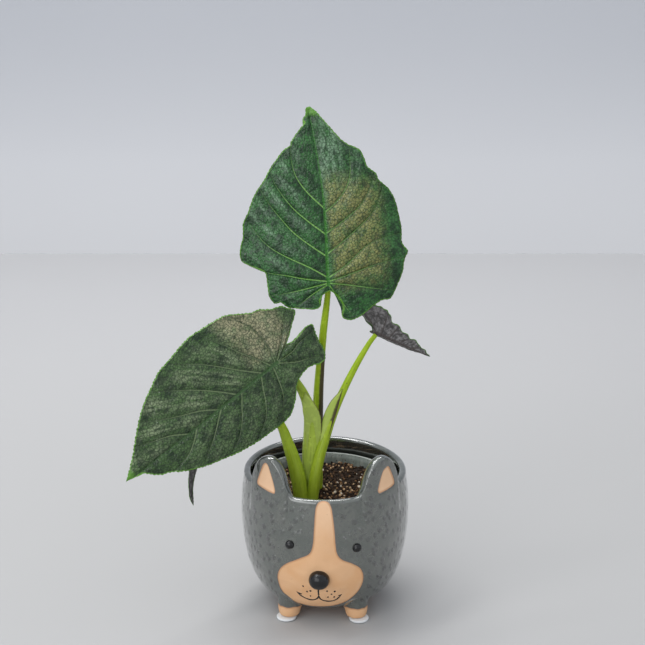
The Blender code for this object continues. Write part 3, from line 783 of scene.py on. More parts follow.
for r, z, rim in profile:
    wave = 1 + 0.0022 * np.sin(3 * around + 0.5) * (z > 60)
    rings.append(on_pot(around, r * wave, z + 0.25 * np.sin(2 * around) * (z > 78)))
    rims.append(np.full(LINER_SIDES, rim))
liner = (
    np.stack(rings).reshape(-1, 3), sheet_faces(len(rings), LINER_SIDES, True),
    {"rim": np.concatenate(rims)}
)
add_piece("nursery_liner", [liner], [plastic.material], ["nursery_pot"])

# %% [markdown]
# ## Potting mix
# The mix is bark and peat crumbs with grit and a few pale grains of perlite. A lumpy surface alone
# looks like cloth, so crumbs are scattered over it as real pieces: each is a small ball, squashed and
# broken by chance, half sunk in the surface. First comes the surface that they lie on.

# %% The lie of the mix
SOIL_REACH = float(nursery_radius(SOIL_TOP)) - PLASTIC - 0.5


def soil_height(x, y):
    """The lumpy top of the mix, as in the CAD model."""
    a = np.sin(0.31 * x + 1.3) * np.sin(0.27 * y + 0.4)
    b, c = np.sin(0.73 * x + 0.22 * y), np.sin(0.61 * y - 0.35 * x + 2.0)
    return SOIL_TOP + 1.2 * np.clip((np.hypot(x, y) - 22) / 6, 0, 1) * (0.5 * a + 0.25 * b + 0.25 * c - 0.6)


def mounded(x, y):
    """The mix was heaped against the back of the nursery pot when the plant was set in."""
    return soil_height(x, y) + 4.2 * smooth(20, SOIL_REACH, np.hypot(x, y)) * smooth(-12, 26, y)


SOIL_SIDES = 240
around = circle(SOIL_SIDES)
q, a = np.meshgrid(np.linspace(0.3, SOIL_REACH, 90), around, indexing="ij")
x, y = q * np.sin(a), -q * np.cos(a)
lumps = (
    0.5 * np.sin(1.9 * x + 0.7 * np.sin(1.1 * y)) * np.sin(1.7 * y + 1)
    + 0.3 * np.sin(3.1 * x - 2.3 * y) + 0.25 * dice.normal(size=x.shape)
)
bed = np.stack([x, y, mounded(x, y) - 0.3 + 0.45 * lumps], -1)
soil_parts = [(bed.reshape(-1, 3), sheet_faces(len(bed), SOIL_SIDES, True), {"tint": 0.1})]
skirt = np.stack([on_pot(around, SOIL_REACH, z) for z in (bed[-1, :, 2], 50.0, 15.5)])
soil_parts.append((skirt.reshape(-1, 3), sheet_faces(3, SOIL_SIDES, True), {"tint": 0.1}))
print("mix reaches", round(SOIL_REACH, 1), "mm from the axis")

# %% [markdown]
# The crumbs could be scattered by a particle system or by instances, but joined into the bed's own
# mesh they are one piece, and the same dice throw them the same way each time. A number per crumb
# picks its colour.

# %% Crumbs
CRUMBS = 3600


def ball(segments=7, rings=5):
    t, a = np.meshgrid(np.linspace(0.12, np.pi - 0.12, rings), circle(segments), indexing="ij")
    points = np.stack([np.sin(t) * np.cos(a), np.sin(t) * np.sin(a), np.cos(t)], -1).reshape(-1, 3)
    return points, sheet_faces(rings, segments, True)[:, ::-1]


crumb_points, crumb_faces = ball()
for _ in range(CRUMBS):
    r, t = SOIL_REACH * math.sqrt(dice.uniform(0, 0.985)), dice.uniform(0, 2 * np.pi)
    cx, cy = r * math.sin(t), -r * math.cos(t)
    kind = dice.uniform()
    size = dice.uniform(0.35, 0.85) if kind < 0.80 else dice.uniform(0.45, 1.1)
    shape = crumb_points * dice.uniform(0.65, 1.25, 3) * size
    shape *= 1 + 0.16 * dice.normal(size=(len(shape), 1))
    spin = Matrix.Rotation(dice.uniform(0, 6.28), 3, Vector(dice.normal(size=3)).normalized())
    shape = shape @ np.array(spin).T
    shape += (cx, cy, float(mounded(cx, cy)) + dice.uniform(-0.3, 0.75) * size * 0.8)
    soil_parts.append((shape, crumb_faces, {"tint": float(kind)}))

# %% [markdown]
# Wet peat is nearly black, bark is red-brown, and grit and perlite are pale. One number from 0 to 1
# per crumb steps through these in turn, so most are dark and about one in seventy is nearly white.

# %% Potting mix material
mix = Paint("potting_mix", roughness=0.85, specular=0.3)
p = mix
kind = p.number("tint")
brown = p.blend(p.ramp(p.noise(1.3, 4), 0.35, 0.7), (0.010, 0.006, 0.003), (0.045, 0.024, 0.012))
brown = p.blend(p.ramp(kind, 0.38, 0.39), brown, (0.030, 0.014, 0.006))
brown = p.blend(p.ramp(kind, 0.70, 0.71), brown, (0.075, 0.036, 0.015))
brown = p.blend(p.ramp(kind, 0.84, 0.85), brown, (0.210, 0.110, 0.048))
brown = p.blend(p.ramp(kind, 0.93, 0.94), brown, (0.520, 0.350, 0.200))
brown = p.blend(p.ramp(kind, 0.985, 0.988), brown, (0.700, 0.620, 0.500))
p.colour(p.tone(brown, p.noise(0.7, 3), 0.6, 1.25))
p.bump(p.noise(0.45, 3), 0.18)
add_piece("soil", soil_parts, [mix.material], ["potting_soil"])

# %% [markdown]
# ## Where each blade joins its stalk
# A stalk and its blade have to meet at one point and at a believable angle. So each blade's joint and
# its two directions are set down once, before either is built: along is the way its tip points, and
# face is the way its upper side looks. Both the stalks and the blades read them.

# %% Where each blade stands
def blade_frame(joint, along, face, stretch):
    """A joint above the soil, the directions across, along and out of the blade, and its stretch."""
    along, face = np.array(along, float), np.array(face, float)
    along /= np.linalg.norm(along)
    face -= along * (face @ along)
    face /= np.linalg.norm(face)
    return np.array(joint, float), np.cross(along, face), along, face, stretch


PLACES = {
    "leaf_upright": blade_frame((2.3, 2, 141), (-12.3, 24, 108), (0.05, -0.96, 0.22), 110 / 109),
    "leaf_spreading": blade_frame((-30, -21, 97), (-89, -62, -56), (0.382, -0.858, 0.342), 122 / 121),
    "leaf_right": blade_frame((33, 14, 105.9), (36.1, 10, -19.6), (0.09, 0.81, 0.57), 42.5 / 43),
    "leaf_low": blade_frame((-70, 8, 75.5), (-18.5, -30, -75), (-0.62, 0.62, 0.48), 82.5 / 87),
}


def stalk_end(leaf, last_radius):
    """Where a stalk's middle line stops, so that its side touches the back of its blade."""
    joint, _, _, face, _ = PLACES[leaf]
    return tuple(joint - face * (0.55 + last_radius))


for leaf, (joint, *_) in PLACES.items():
    print(leaf, "joins its stalk", round(float(joint[2]), 1), "mm above the soil")

# %% [markdown]
# ## Leaf stalks and their sheaths
# Each stalk is a juicy round stem. Two of them open lower down into a sheath, a thin flap that once
# wrapped the next leaf, so their bases nest inside each other. A curve with a round bevel would give
# the stem, but not the numbers that its skin needs, so rings of points are set along the path.

# %% A stalk along its own path
def stalk_tube(path, radii, steps=150, sides=36):
    """Rings of a tapering stem, each ring's share of the length, and each point's angle."""
    centre = through(path, steps)
    centre[:, 2] += SOIL_TOP
    s = np.linspace(0, 1, steps)
    radius = np.interp(s, np.linspace(0, 1, len(radii)), radii)
    ahead = np.gradient(centre, axis=0)
    ahead /= np.linalg.norm(ahead, axis=1)[:, None]
    side = np.array((1.0, 0, 0)) - ahead * ahead[:, :1]
    side /= np.linalg.norm(side, axis=1)[:, None]
    other = np.cross(ahead, side)
    around = circle(sides)
    ripple = 1 + 0.012 * np.sin(9 * around)[None] + 0.02 * np.sin(4 * around + 5 * s[:, None])
    r = (radius[:, None] * ripple)[..., None]
    round_side = side[:, None] * (r * np.cos(around)[None, :, None])
    round_other = other[:, None] * (r * np.sin(around)[None, :, None])
    return centre[:, None] + round_side + round_other, s, np.broadcast_to(around, (steps, sides))


def stalk_part(points, s, around, **numbers):
    """The tube closed at both ends, with its height share and angle stored."""
    steps, sides = around.shape
    low, high = points[0].mean(0), points[-1].mean(0)
    closed = np.concatenate(
        [
            np.repeat(low[None, None], sides, 1) * 0.98 + points[:1] * 0.02, points,
            points[-1:] * 0.5 + high * 0.5, points[-1:] * 0.02 + high * 0.98
        ]
    )

    def with_caps(values):
        values = np.broadcast_to(values, (steps, sides))
        return np.concatenate([values[:1], values, values[-1:], values[-1:]]).reshape(-1)

    numbers = {key: with_caps(values) for key, values in numbers.items()}
    numbers["s"] = with_caps(s[:, None])
    numbers["turn"] = with_caps(around) * 3
    return closed.reshape(-1, 3), sheet_faces(steps + 3, sides, True), numbers


# %% [markdown]
# A flap is stretched between two lines: an inner one, where it leaves the stem, and an outer one, its
# torn margin. It bellies out between them and thins to a rounded edge. A Solidify modifier would keep
# that edge square. Where a seam is asked for, the skin near the stem is stained as well.

# %% A sheath's flap
def flap(inner, outer, belly, seam=0.0, thick=0.55, columns=90, rows=26):
    """A sheath's flap between two lines in space, bellied outwards, with a thin rounded margin."""
    inner, outer = through(inner, columns), through(outer, columns)
    inner[:, 2] += SOIL_TOP
    outer[:, 2] += SOIL_TOP
    t = np.linspace(0, 1, rows)[None, :, None]
    belly = np.array(belly, float)
    base = inner[:, None] * (1 - t) + outer[:, None] * t + belly * (4 * t * (1 - t)) * 0.5
    normal = np.cross(np.gradient(base, axis=0), np.gradient(base, axis=1))
    normal /= np.linalg.norm(normal, axis=2)[..., None] + 1e-9
    normal *= np.sign(np.sum(normal * (belly + (0, -0.01, 0)), axis=2))[..., None]
    depth = thick * (0.3 + 0.7 * np.sqrt(np.clip(1 - t**6, 0, 1)))
    back = base - normal * depth
    grid = np.concatenate([base, back[:, ::-1]], 1)
    margin = np.broadcast_to(1 - t[..., 0], (columns, rows)) * np.linalg.norm(outer - inner, axis=1)[:, None]
    s = np.broadcast_to(np.linspace(0, 1, columns)[:, None], (columns, rows))
    from_stem = 1 - margin / margin.max(1, keepdims=True)
    stain = seam * smooth(0.45, 0.1, from_stem) * smooth(0.15, 0.5, s)

    def both(values):
        return np.concatenate([values, values[:, ::-1]], 1).reshape(-1)

    return grid.reshape(-1, 3), sheet_faces(columns, 2 * rows), {
        "dark": both(np.maximum(0.6 * smooth(1.1, 0.1, margin), stain)),
        "s": both(s), "turn": both(margin * 0.9), "pale": 0.5
    }


# %% [markdown]
# The skin is pale lime with fine upright lines, and light soaks into it a little. The torn edge of
# each sheath has dried to a dark brown. The lines are noise read by angle and height, not by place,
# so they follow the stem round its bends.

# %% Stalk material
def lighter(colour, times):
    """The colour so many times as bright; under 1 it is darker."""
    return tuple(min(1, times * c) for c in colour)


def stalk_paint(name, young, old, dusk):
    p = Paint(name, roughness=0.34, specular=0.3, subsurface=0.12)
    upright = p.vector(p.calc("MULTIPLY", p.number("turn"), 2.2), p.calc("MULTIPLY", p.number("s"), 6.0))
    lines = p.noise(1.0, 3, place=upright)
    skin = p.blend(p.ramp(p.number("s"), 0.05, 0.75), old, young)
    skin = p.blend(p.ramp(lines, 0.42, 0.7, 0.0, 0.55), skin, lighter(young, 0.62))
    skin = p.blend(p.ramp(p.noise(3.5, 4), 0.5, 0.75, 0.0, 0.5), skin, lighter(old, 1.35))
    skin = p.blend(p.number("pale"), skin, (0.430, 0.520, 0.150))
    edge = p.calc("ADD", p.number("dark"), p.calc("MULTIPLY", p.calc("SUBTRACT", p.noise(2.4, 3), 0.5), 0.7))
    skin = p.blend(p.ramp(edge, 0.15, 0.85), skin, dusk)
    skin = p.blend(p.ramp(p.cells(6.0), 0.05, 0.085, 0.6, 0.0), skin, (0.060, 0.022, 0.012))
    p.colour(skin)
    p.rough(p.ramp(p.noise(2.5, 3), 0.3, 0.7, 0.28, 0.5))
    p.bump(lines, 0.12)
    p.bump(p.noise(1.2, 3), 0.06)
    return p.material


lime_skin = stalk_paint("stalk_lime", (0.300, 0.440, 0.006), (0.330, 0.430, 0.030), (0.062, 0.048, 0.016))
pale_skin = stalk_paint("stalk_pale", (0.285, 0.400, 0.030), (0.500, 0.640, 0.090), (0.095, 0.050, 0.028))


# %% [markdown]
# The upright leaf's stalk is the tallest and straightest. Where the next sheath once clasped it, a
# dusky band still runs up its right side.

# %% Upright stalk
path = [
    (-5, 6, 0.3), (-5, 7, 35.5), (-4, 7.5, 70.5), (-1.3, 8, 105.5), (1.3, 7.5, 128.5),
    stalk_end("leaf_upright", 1.6)
]
points, s, around = stalk_tube(path, (3.5, 3.6, 3.6, 3.1, 2.6, 2.3, 1.7))
z = points[..., 2]
dusk_share = smooth(0.35, 0.8, np.cos(around + 0.5)) * smooth(172, 160, z) * smooth(96, 122, z)
add_piece(
    "upright_stalk", [stalk_part(points, s, around, dark=dusk_share)], [lime_skin],
    ["stalk_upright"]
)

# %% [markdown]
# The spreading leaf's sheath is the stoutest. Its front flap folds across to the right and ends in a
# dark point half way up, where the round stalk comes free of it and bends away to the left.

# %% Spreading stalk
path = [
    (-9.5, -3, 0.3), (-9, -3.5, 20.5), (-8.5, -5, 40.5), (-9.5, -7, 57.5), (-14, -9.5, 72.5),
    (-22, -13.5, 86.5), stalk_end("leaf_spreading", 1.6)
]
points, s, around = stalk_tube(path, (5.8, 6.0, 5.9, 4.7, 3.3, 2.4, 1.7))
stem = stalk_part(points, s, around, dark=0.0, pale=0.35 * smooth(0.5, 0.1, s)[:, None])
sheath = flap(
    [
        (-12, -7.4, 1), (-12, -8.2, 20), (-12, -9.8, 38), (-13, -11.0, 52), (-14.4, -12.2, 64),
        (-13, -13, 73.5)
    ],
    [
        (-4.4, -5.5, 1), (-3.6, -7.0, 20), (-2.6, -8.0, 36), (-2.2, -8.6, 48), (-3.2, -9.4, 58),
        (-7.2, -11.2, 67), (-12.6, -13, 74.5)
    ],
    (0.6, -1.6, 0)
)
add_piece("spreading_stalk", [stem, sheath], [pale_skin], ["stalk_spreading"])

# %% [markdown]
# The youngest leaf's stalk rises in front of the stout one, then leans out to the right and back. Its
# sheath stands off to the left of the stem, with a dark seam where the two part.

# %% Right stalk
path = [
    (-8.3, -13.6, 0.3), (-5.6, -11.6, 20.5), (-0.8, -7.6, 38.5), (7.0, -1, 59.5), (17.2, 5, 80.5),
    (27.3, 10, 97.5), stalk_end("leaf_right", 1.5)
]
points, s, around = stalk_tube(path, (3.8, 3.8, 3.4, 2.8, 2.4, 2.0, 1.5))
stem = stalk_part(points, s, around, dark=0.0)
sheath = flap(
    [
        (-6.4, -16.0, 6), (-4.4, -14.4, 20), (-0.6, -11.6, 34), (4.2, -7.4, 48), (7.6, -4.4, 58),
        (11.2, -0.4, 70.5)
    ],
    [
        (-7.0, -15.6, 6), (-6.0, -13.2, 20), (-4.0, -10.8, 34), (-2.4, -7.6, 47),
        (-0.8, -4.8, 55.5), (3.8, -2.6, 64.5), (11.2, 0.2, 72)
    ],
    (-0.9, -1.0, 0), seam=0.85
)
add_piece("right_stalk", [stem, sheath], [lime_skin], ["stalk_right"])

# %% [markdown]
# The oldest leaf's stalk leaves the soil at the left and bends away behind the spreading blade. Its
# hidden upper end is a guess. A brown stripe runs up the stem.

# %% Low stalk
path = [
    (-15, -14, 0.3), (-18, -12.5, 18.5), (-23.5, -11, 37.5), (-30, -8, 52.5), (-46, -2, 66.5),
    (-61, 4, 73.5), stalk_end("leaf_low", 1.4)
]
points, s, around = stalk_tube(path, (4.8, 4.9, 4.0, 2.9, 2.2, 1.8, 1.4))
z = points[..., 2]
stripe = smooth(0.8, 0.98, np.cos(around - 1.35)) * smooth(70, 90, z)
bruise = smooth(120, 124, z) * smooth(128, 125, z) * smooth(0.0, 0.6, np.cos(around - 2.2))
stem = stalk_part(points, s, around, dark=np.maximum(0.75 * stripe, bruise))
add_piece("low_stalk", [stem], [lime_skin], ["stalk_low"])

# %% [markdown]
# ## How a leaf blade grows
# An alocasia blade is two half-blades hung on a midrib, with a lobe each side of the stalk. Its side
# veins leave the midrib, run out and then turn up towards the tip. The tissue between two veins is
# blown up like a cushion. So the mesh grows the same way: each half is a fan of lines, and every
# real vein is one of them. That keeps a vein crisp and lets each cushion rise between its own veins.

# %% A half-blade as a fan of vein lines
ACROSS_ROWS = 46   # rows from the midrib to the margin
SAME_ROOT = 0.3    # veins that leave the midrib closer than this share a root


def read_half(outline, veins, wave):
    """One half's outline, with its small teeth, and its vein lines, each cut into even rows."""
    edge = through(outline, 1200)
    along_edge = np.linspace(0, 1, 1200)
    ahead = np.gradient(edge, axis=0)
    ahead /= np.linalg.norm(ahead, axis=1)[:, None] + 1e-9
    size, length = wave
    s = along_edge * length_of(edge)
    teeth = size * (
        np.sin(2 * np.pi * s / length + 3 * np.sin(s / 9))
        + 0.6 * np.sin(2 * np.pi * s / length * 0.43 + 1)
    )
    teeth = teeth * smooth(0, 0.03, along_edge) * smooth(1, 0.97, along_edge)
    edge = edge + np.stack([-ahead[:, 1], ahead[:, 0]], 1) * teeth[:, None]
    lines, ends = [], []
    for n, vein in enumerate(veins):
        vein = np.array(vein, float)
        if n == 0 or n == len(veins) - 1:
            end = 0.0 if n == 0 else 1.0
        else:
            end = along_edge[np.argmin(np.linalg.norm(edge - vein[-1], axis=1))]
        vein[-1] = [np.interp(end, along_edge, edge[:, c]) for c in (0, 1)]
        lines.append(through(vein, ACROSS_ROWS))
        ends.append(end)
    return {"edge": edge, "share": along_edge, "lines": lines, "ends": ends, "veins": veins}


# %% [markdown]
# The two halves have to meet point for point along the midrib, or the blade would split there. So the
# steps that either half wants are pooled, and both take them. Veins that share a root at the stalk
# are stepped by their length of margin instead.

# %% Steps from vein to vein
def fan_steps(half, other):
    """Column positions as phases, one unit per vein; both halves get the same points on the midrib."""
    starts = np.array([line[0, 1] for line in half["lines"]])
    theirs = np.array([line[0, 1] for line in other["lines"]])
    wanted = []
    for group, ends, edge in (
        (starts, half["ends"], half["edge"]), (theirs, other["ends"], other["edge"])
    ):
        size = length_of(edge)
        for k in range(len(group) - 1):
            gap, span = group[k] - group[k + 1], (ends[k + 1] - ends[k]) * size
            if gap > SAME_ROOT:
                count = max(2, int(max(gap / 0.8, span / 1.3)))
                wanted += list(np.linspace(group[k], group[k + 1], count))
    wanted = np.unique(np.round(wanted, 4))[::-1]
    phases = []
    for k in range(len(starts) - 1):
        if starts[k] - starts[k + 1] > SAME_ROOT:
            inside = wanted[(wanted <= starts[k] + 1e-6) & (wanted >= starts[k + 1] - 1e-6)]
            phases += list(k + (starts[k] - inside) / (starts[k] - starts[k + 1]))
        else:
            span = (half["ends"][k + 1] - half["ends"][k]) * length_of(half["edge"])
            phases += list(k + np.linspace(0, 1, max(3, int(span))))
    return np.unique(np.round(phases, 6))


def fan(half, phases):
    """Flat points (columns, rows, 2) of a half, following its veins."""
    t = np.linspace(0, 1, ACROSS_ROWS)[:, None]
    found = []
    for phase in phases:
        k = min(int(phase + 1e-9), len(half["lines"]) - 2)
        f = phase - k
        line = (1 - f) * half["lines"][k] + f * half["lines"][k + 1]
        end = half["ends"][k] + f * (half["ends"][k + 1] - half["ends"][k])
        target = np.array([np.interp(end, half["share"], half["edge"][:, c]) for c in (0, 1)])
        found.append(line + t**2.2 * (target - line[-1]))
    return np.stack(found)


# %% [markdown]
# ## From a flat fan to a living blade
# Three distances shape the living surface: from the nearest side vein, from the midrib and from the
# margin. They could be painted by hand as vertex groups, but measured ones stay true when an outline
# changes. The same distances are kept for the paint to read.

# %% Measure a half-blade
def half_distances(half, flat, phases, t, spine):
    """Each point's distance from a side vein, the midrib and the margin. A vein narrows as it goes."""
    points = flat.reshape(-1, 2)
    width = np.interp(t.reshape(-1), (0, 1), (1.0, 0.35))
    vein = np.full(len(points), 99.0)
    for k in range(1, len(half["lines"]) - 1):
        column = flat[np.argmin(np.abs(phases - k))]
        vein = np.minimum(vein, distance_to(points, column[::3]) / width)
    middle = distance_to(points, spine)
    margin = distance_to(points, half["edge"][::3])
    return vein.reshape(t.shape), middle.reshape(t.shape), margin.reshape(t.shape)


def both_faces(values):
    """Rows of the upper face carried on round the margin, over the underside and back to the midrib."""
    return np.concatenate([values, values[:, ::-1][:, 1:]], 1)


def plain_tissue(a, b):
    return 0.0 * a


# %% [markdown]
# The flat pattern is lifted onto the blade's own curved plane. The upper face puffs up between veins
# and dips along them; the underside stands out along them, with the midrib like a cord. The blade
# thins to a soft edge. Nine numbers travel with each point: part says which face it is on, and so
# which material it takes, and the paint reads the others.

# %% A whole blade
def blade_parts(
    place, length, halves, shape, puff=1.0, bow=0.0, rib=1.3, wave=(0.12, 2.6), bronze=plain_tissue,
    silver=plain_tissue, thick=0.55
):
    joint, across, along, face, stretch = place
    joint = joint + (0, 0, SOIL_TOP)
    read = [read_half(outline, veins, wave) for outline, veins in halves]
    up_rib = np.linspace(0, 1, 60)
    spine = np.stack([bow * np.sin(np.pi * up_rib) ** 1.5, up_rib * length], 1)
    parts = []
    for n, half in enumerate(read):
        phases = fan_steps(half, read[1 - n])
        flat = fan(half, phases)
        rib_bow = bow * np.sin(np.pi * np.clip(flat[..., 1] / length, 0, 1)) ** 1.5
        flat[..., 0] += rib_bow * (1 - np.linspace(0, 1, ACROSS_ROWS)) ** 1.5
        a, b = flat[..., 0], flat[..., 1]
        t = np.broadcast_to(np.linspace(0, 1, ACROSS_ROWS), a.shape)
        vein, middle, margin = half_distances(half, flat, phases, t, spine)
        span = np.broadcast_to((phases % 1)[:, None], a.shape)
        reach = np.clip(1 - b / length, 0.05, 1)
        cushion = np.sin(np.pi * span) * np.sin(np.pi * np.clip(t * 1.06, 0, 1)) ** 0.8
        cushion = cushion * np.clip(np.abs(phases - 0.5) * 2, 0.35, 1)[:, None]
        fine = 1 - np.exp(-((vein / 1.6) ** 2))
        lift = (
            shape(a, b) + puff * (1.25 * cushion + 0.35 * fine) * smooth(0, 2.5, middle)
            - 0.30 * np.exp(-((middle / 1.1) ** 2))
        )
        lift = lift + 0.35 * puff * t**3 * np.sin(b * 0.42 + a * 0.3)
        rounded = np.sqrt(np.clip(1 - (1 - np.clip(margin / 0.5, 0, 1)) ** 2, 0.0, 1))
        body = thick * (0.35 + 0.65 * smooth(0, 3, margin)) * rounded
        midrib = rib * np.exp(-((middle / (0.5 + 1.3 * reach)) ** 2)) * reach**0.6
        side_veins = 0.38 * rib * np.exp(-((vein / 0.9) ** 2)) * (1 - t)
        cord = (midrib + side_veins) * smooth(0, 2.0, margin)

        def lifted(height):
            return joint + (a[..., None] * across + b[..., None] * along + height[..., None] * face) * stretch

        grid = np.concatenate([lifted(lift), lifted(lift - body - cord)[:, ::-1][:, 1:]], 1)
        faces = sheet_faces(len(phases), 2 * ACROSS_ROWS - 1)
        on_left = half["veins"][1][-1][0] < 0
        # The bronze and silver numbers say where the paint lays its painted bronze and silver reflections.
        numbers = {
            "vein": vein, "middle": middle / (0.32 + 0.95 * reach), "margin": margin, "tip": b / length,
            "t": t, "phase": np.broadcast_to(phases[:, None], a.shape) + 20.0 * n,
            "bronze": bronze(a, b), "silver": silver(a, b),
        }
        numbers = {name: both_faces(values).reshape(-1) for name, values in numbers.items()}
        numbers["part"] = np.tile(np.repeat([0.0, 1.0], [ACROSS_ROWS, ACROSS_ROWS - 1]), len(phases))
        parts.append((grid.reshape(-1, 3), faces if on_left else faces[:, ::-1], numbers))
    return parts


# %% [markdown]
# ## Leaf colours
# The upper face is a dark, glossy green. Its bronze patches and the silvery streaks between its veins
# are painted reflections of the light, and the palest specks of its grain are painted glints. Beside
# each vein the green darkens as painted shade. It is pebbled all over with tiny raised cells under two
# millimetres wide. Veins are thin and pale green, brighter near the midrib, and the margin is a fine
# line of lime. A picture wrapped on the blade would blur close by, so every layer is noise or a ramp
# over one of the blade's own numbers.

# %% Leaf material, upper face
def along_veins(p, across, outward):
    """A place for noise that runs with the veins: so many patches from vein to vein, and outward."""
    return p.vector(
        p.calc("MULTIPLY", p.number("phase"), across), p.calc("MULTIPLY", p.number("t"), outward)
    )


def leaf_paint(name, dark, light, bronze, silver, vein_colour, rib_colour, gloss, vein_strength=0.8):
    p = Paint(name, roughness=gloss, specular=0.42)
    cloud = p.noise(6, 4, rough=0.65)
    grain = p.noise(0.95, 2, rough=0.65)
    pebbles = p.cells(1.7, random=0.9)
    creases = p.ramp(p.cells(2.1, feature="DISTANCE_TO_EDGE"), 0.0, 0.16, 1.0, 0.0)
    green = p.blend(p.ramp(cloud, 0.40, 0.58), dark, light)
    ladder = p.noise(1.0, 2, place=along_veins(p, 1.4, 17.0))
    green = p.blend(p.ramp(ladder, 0.50, 0.66, 0.0, 0.40), green, lighter(light, 1.6))
    # Painted reflections: the silver one lies in streaks along the veins and is strongest on the cushions'
    # tops. The bronze one lies in patches.
    lustre = p.ramp(grain, 0.36, 0.64, 0.55, 1.0)
    swell = p.calc("FRACT", p.number("phase"))
    swell = p.calc("MULTIPLY", p.ramp(swell, 0.08, 0.45), p.ramp(swell, 0.98, 0.55))
    streaks = p.ramp(p.noise(1.0, 3, place=along_veins(p, 6.0, 4.5)), 0.36, 0.58, 0.1, 1.0)
    sheen = p.calc("MULTIPLY", p.calc("MULTIPLY", p.number("silver"), lustre), streaks)
    green = p.blend(p.calc("MULTIPLY", sheen, p.ramp(swell, 0.0, 1.0, 0.25, 1.0)), green, silver)
    patches = p.ramp(p.noise(5, 3), 0.32, 0.58, 0.35, 1.0)
    bronze_sheen = p.calc("MULTIPLY", p.calc("MULTIPLY", p.number("bronze"), lustre), patches)
    green = p.blend(bronze_sheen, green, bronze)
    green = p.blend(p.calc("MULTIPLY", creases, 0.75), green, dark)
    # Painted glints: the palest specks of grain are lifted to a pale green.
    green = p.blend(p.ramp(grain, 0.56, 0.74, 0.0, 0.12), green, lighter(light, 2.2))
    fading = p.ramp(p.number("t"), 0.35, 0.95, vein_strength, 0.2 * vein_strength)
    vein = p.calc("MULTIPLY", p.ramp(p.number("vein"), 0.30, 0.62, 1.0, 0.0), fading)
    shadow = p.calc("MULTIPLY", p.ramp(p.number("vein"), 0.6, 1.5, 1.0, 0.0), 0.5)
    green = p.blend(shadow, green, dark)
    # The veins are darkened inside the painted bronze reflection.
    dulled = p.blend(p.calc("MULTIPLY", p.number("bronze"), 0.75), vein_colour, lighter(vein_colour, 0.35))
    green = p.blend(vein, green, dulled)
    rib_share = p.ramp(p.number("middle"), 0.65, 1.1, 1.0, 0.0)
    rib_share = p.calc("MULTIPLY", rib_share, p.ramp(p.number("tip"), 0.0, 0.95, 1.0, 0.55))
    green = p.blend(rib_share, green, rib_colour)
    green = p.blend(p.ramp(p.number("margin"), 0.3, 0.9, 0.9, 0.0), green, (0.120, 0.300, 0.030))
    near_tip = p.calc("ADD", p.number("tip"), p.calc("MULTIPLY", p.noise(4, 2), 0.04))
    green = p.blend(p.ramp(near_tip, 0.955, 0.99, 0.0, 0.85), green, (0.110, 0.290, 0.030))
    p.colour(green)
    p.rough(p.ramp(p.noise(2.6, 2), 0.3, 0.7, gloss - 0.04, gloss + 0.08))
    p.bump(p.ramp(pebbles, 0.1, 0.75, 1.0, 0.0), 0.30)
    p.bump(p.noise(4.2, 1), 0.8)
    return p.material


# %% [markdown]
# The underside is less glossy. Its tissue is streaked along the veins and pebbled as well, and its
# veins and midrib have a colour of their own. The upright leaf's underside is grey-green, and the
# others' is a warm, dusky grey.

# %% Leaf material, underside
def under_paint(name, tissue, tissue_light, cord_colour):
    p = Paint(name, roughness=0.45, specular=0.4)
    streak = p.noise(1.0, 3, place=along_veins(p, 5.0, 4.0))
    skin = p.blend(p.ramp(streak, 0.36, 0.64), tissue, tissue_light)
    skin = p.blend(p.ramp(p.cells(1.9), 0.45, 0.75, 0.0, 0.6), skin, lighter(tissue, 0.5))
    skin = p.blend(p.ramp(p.number("vein"), 0.4, 1.1, 0.75, 0.0), skin, cord_colour)
    skin = p.blend(p.ramp(p.number("middle"), 0.9, 1.5, 0.9, 0.0), skin, cord_colour)
    skin = p.blend(p.ramp(p.number("margin"), 0.2, 0.8, 0.8, 0.0), skin, (0.060, 0.130, 0.030))
    p.colour(skin)
    p.bump(p.ramp(p.cells(1.9), 0.1, 0.8, 1.0, 0.0), 0.4)
    p.bump(p.noise(3.0, 3), 0.4)
    return p.material


# Each top paint takes a dark and a light green, the colours of its painted bronze and silver reflections,
# then its vein and midrib colours.
upright_top = leaf_paint(
    "leaf_upright_top", (0.003, 0.028, 0.005), (0.028, 0.120, 0.026), (0.275, 0.270, 0.090),
    (0.200, 0.330, 0.205), (0.200, 0.420, 0.090), (0.030, 0.160, 0.012), gloss=0.21
)
spreading_top = leaf_paint(
    "leaf_spreading_top", (0.005, 0.022, 0.004), (0.046, 0.098, 0.026), (0.350, 0.325, 0.195),
    (0.230, 0.290, 0.160), (0.160, 0.220, 0.100), (0.035, 0.090, 0.022), vein_strength=0.7, gloss=0.23
)
dusky_under = under_paint(
    "leaf_dusky_under", (0.070, 0.066, 0.064), (0.230, 0.220, 0.220), (0.060, 0.048, 0.044)
)
green_under = under_paint(
    "leaf_pale_under", (0.070, 0.075, 0.062), (0.115, 0.110, 0.090), (0.150, 0.210, 0.060)
)

# %% [markdown]
# ## The upright leaf
# The biggest leaf faces forwards on a tall stalk. Its left margin steps in where the lobe tucks behind
# the blade, its right one bulges, and its tip is a short lime point. Each half is an outline from tip
# to stalk and a list of veins in the same order, in the leaf's own flat coordinates: how far out from
# the midrib, and how far up it. A symmetrical leaf would need only one half, but this one isn't.

# %% Upright leaf, its form
def upright_shape(a, b):
    plain = -0.0022 * a * a - 0.0006 * b * (b - 80) + 1.6 * np.sin(0.11 * b + 0.5) * (a / 50) ** 2
    tuck = -3.0 * smooth(-34, -46, a) * smooth(24, 10, b)
    return plain + tuck


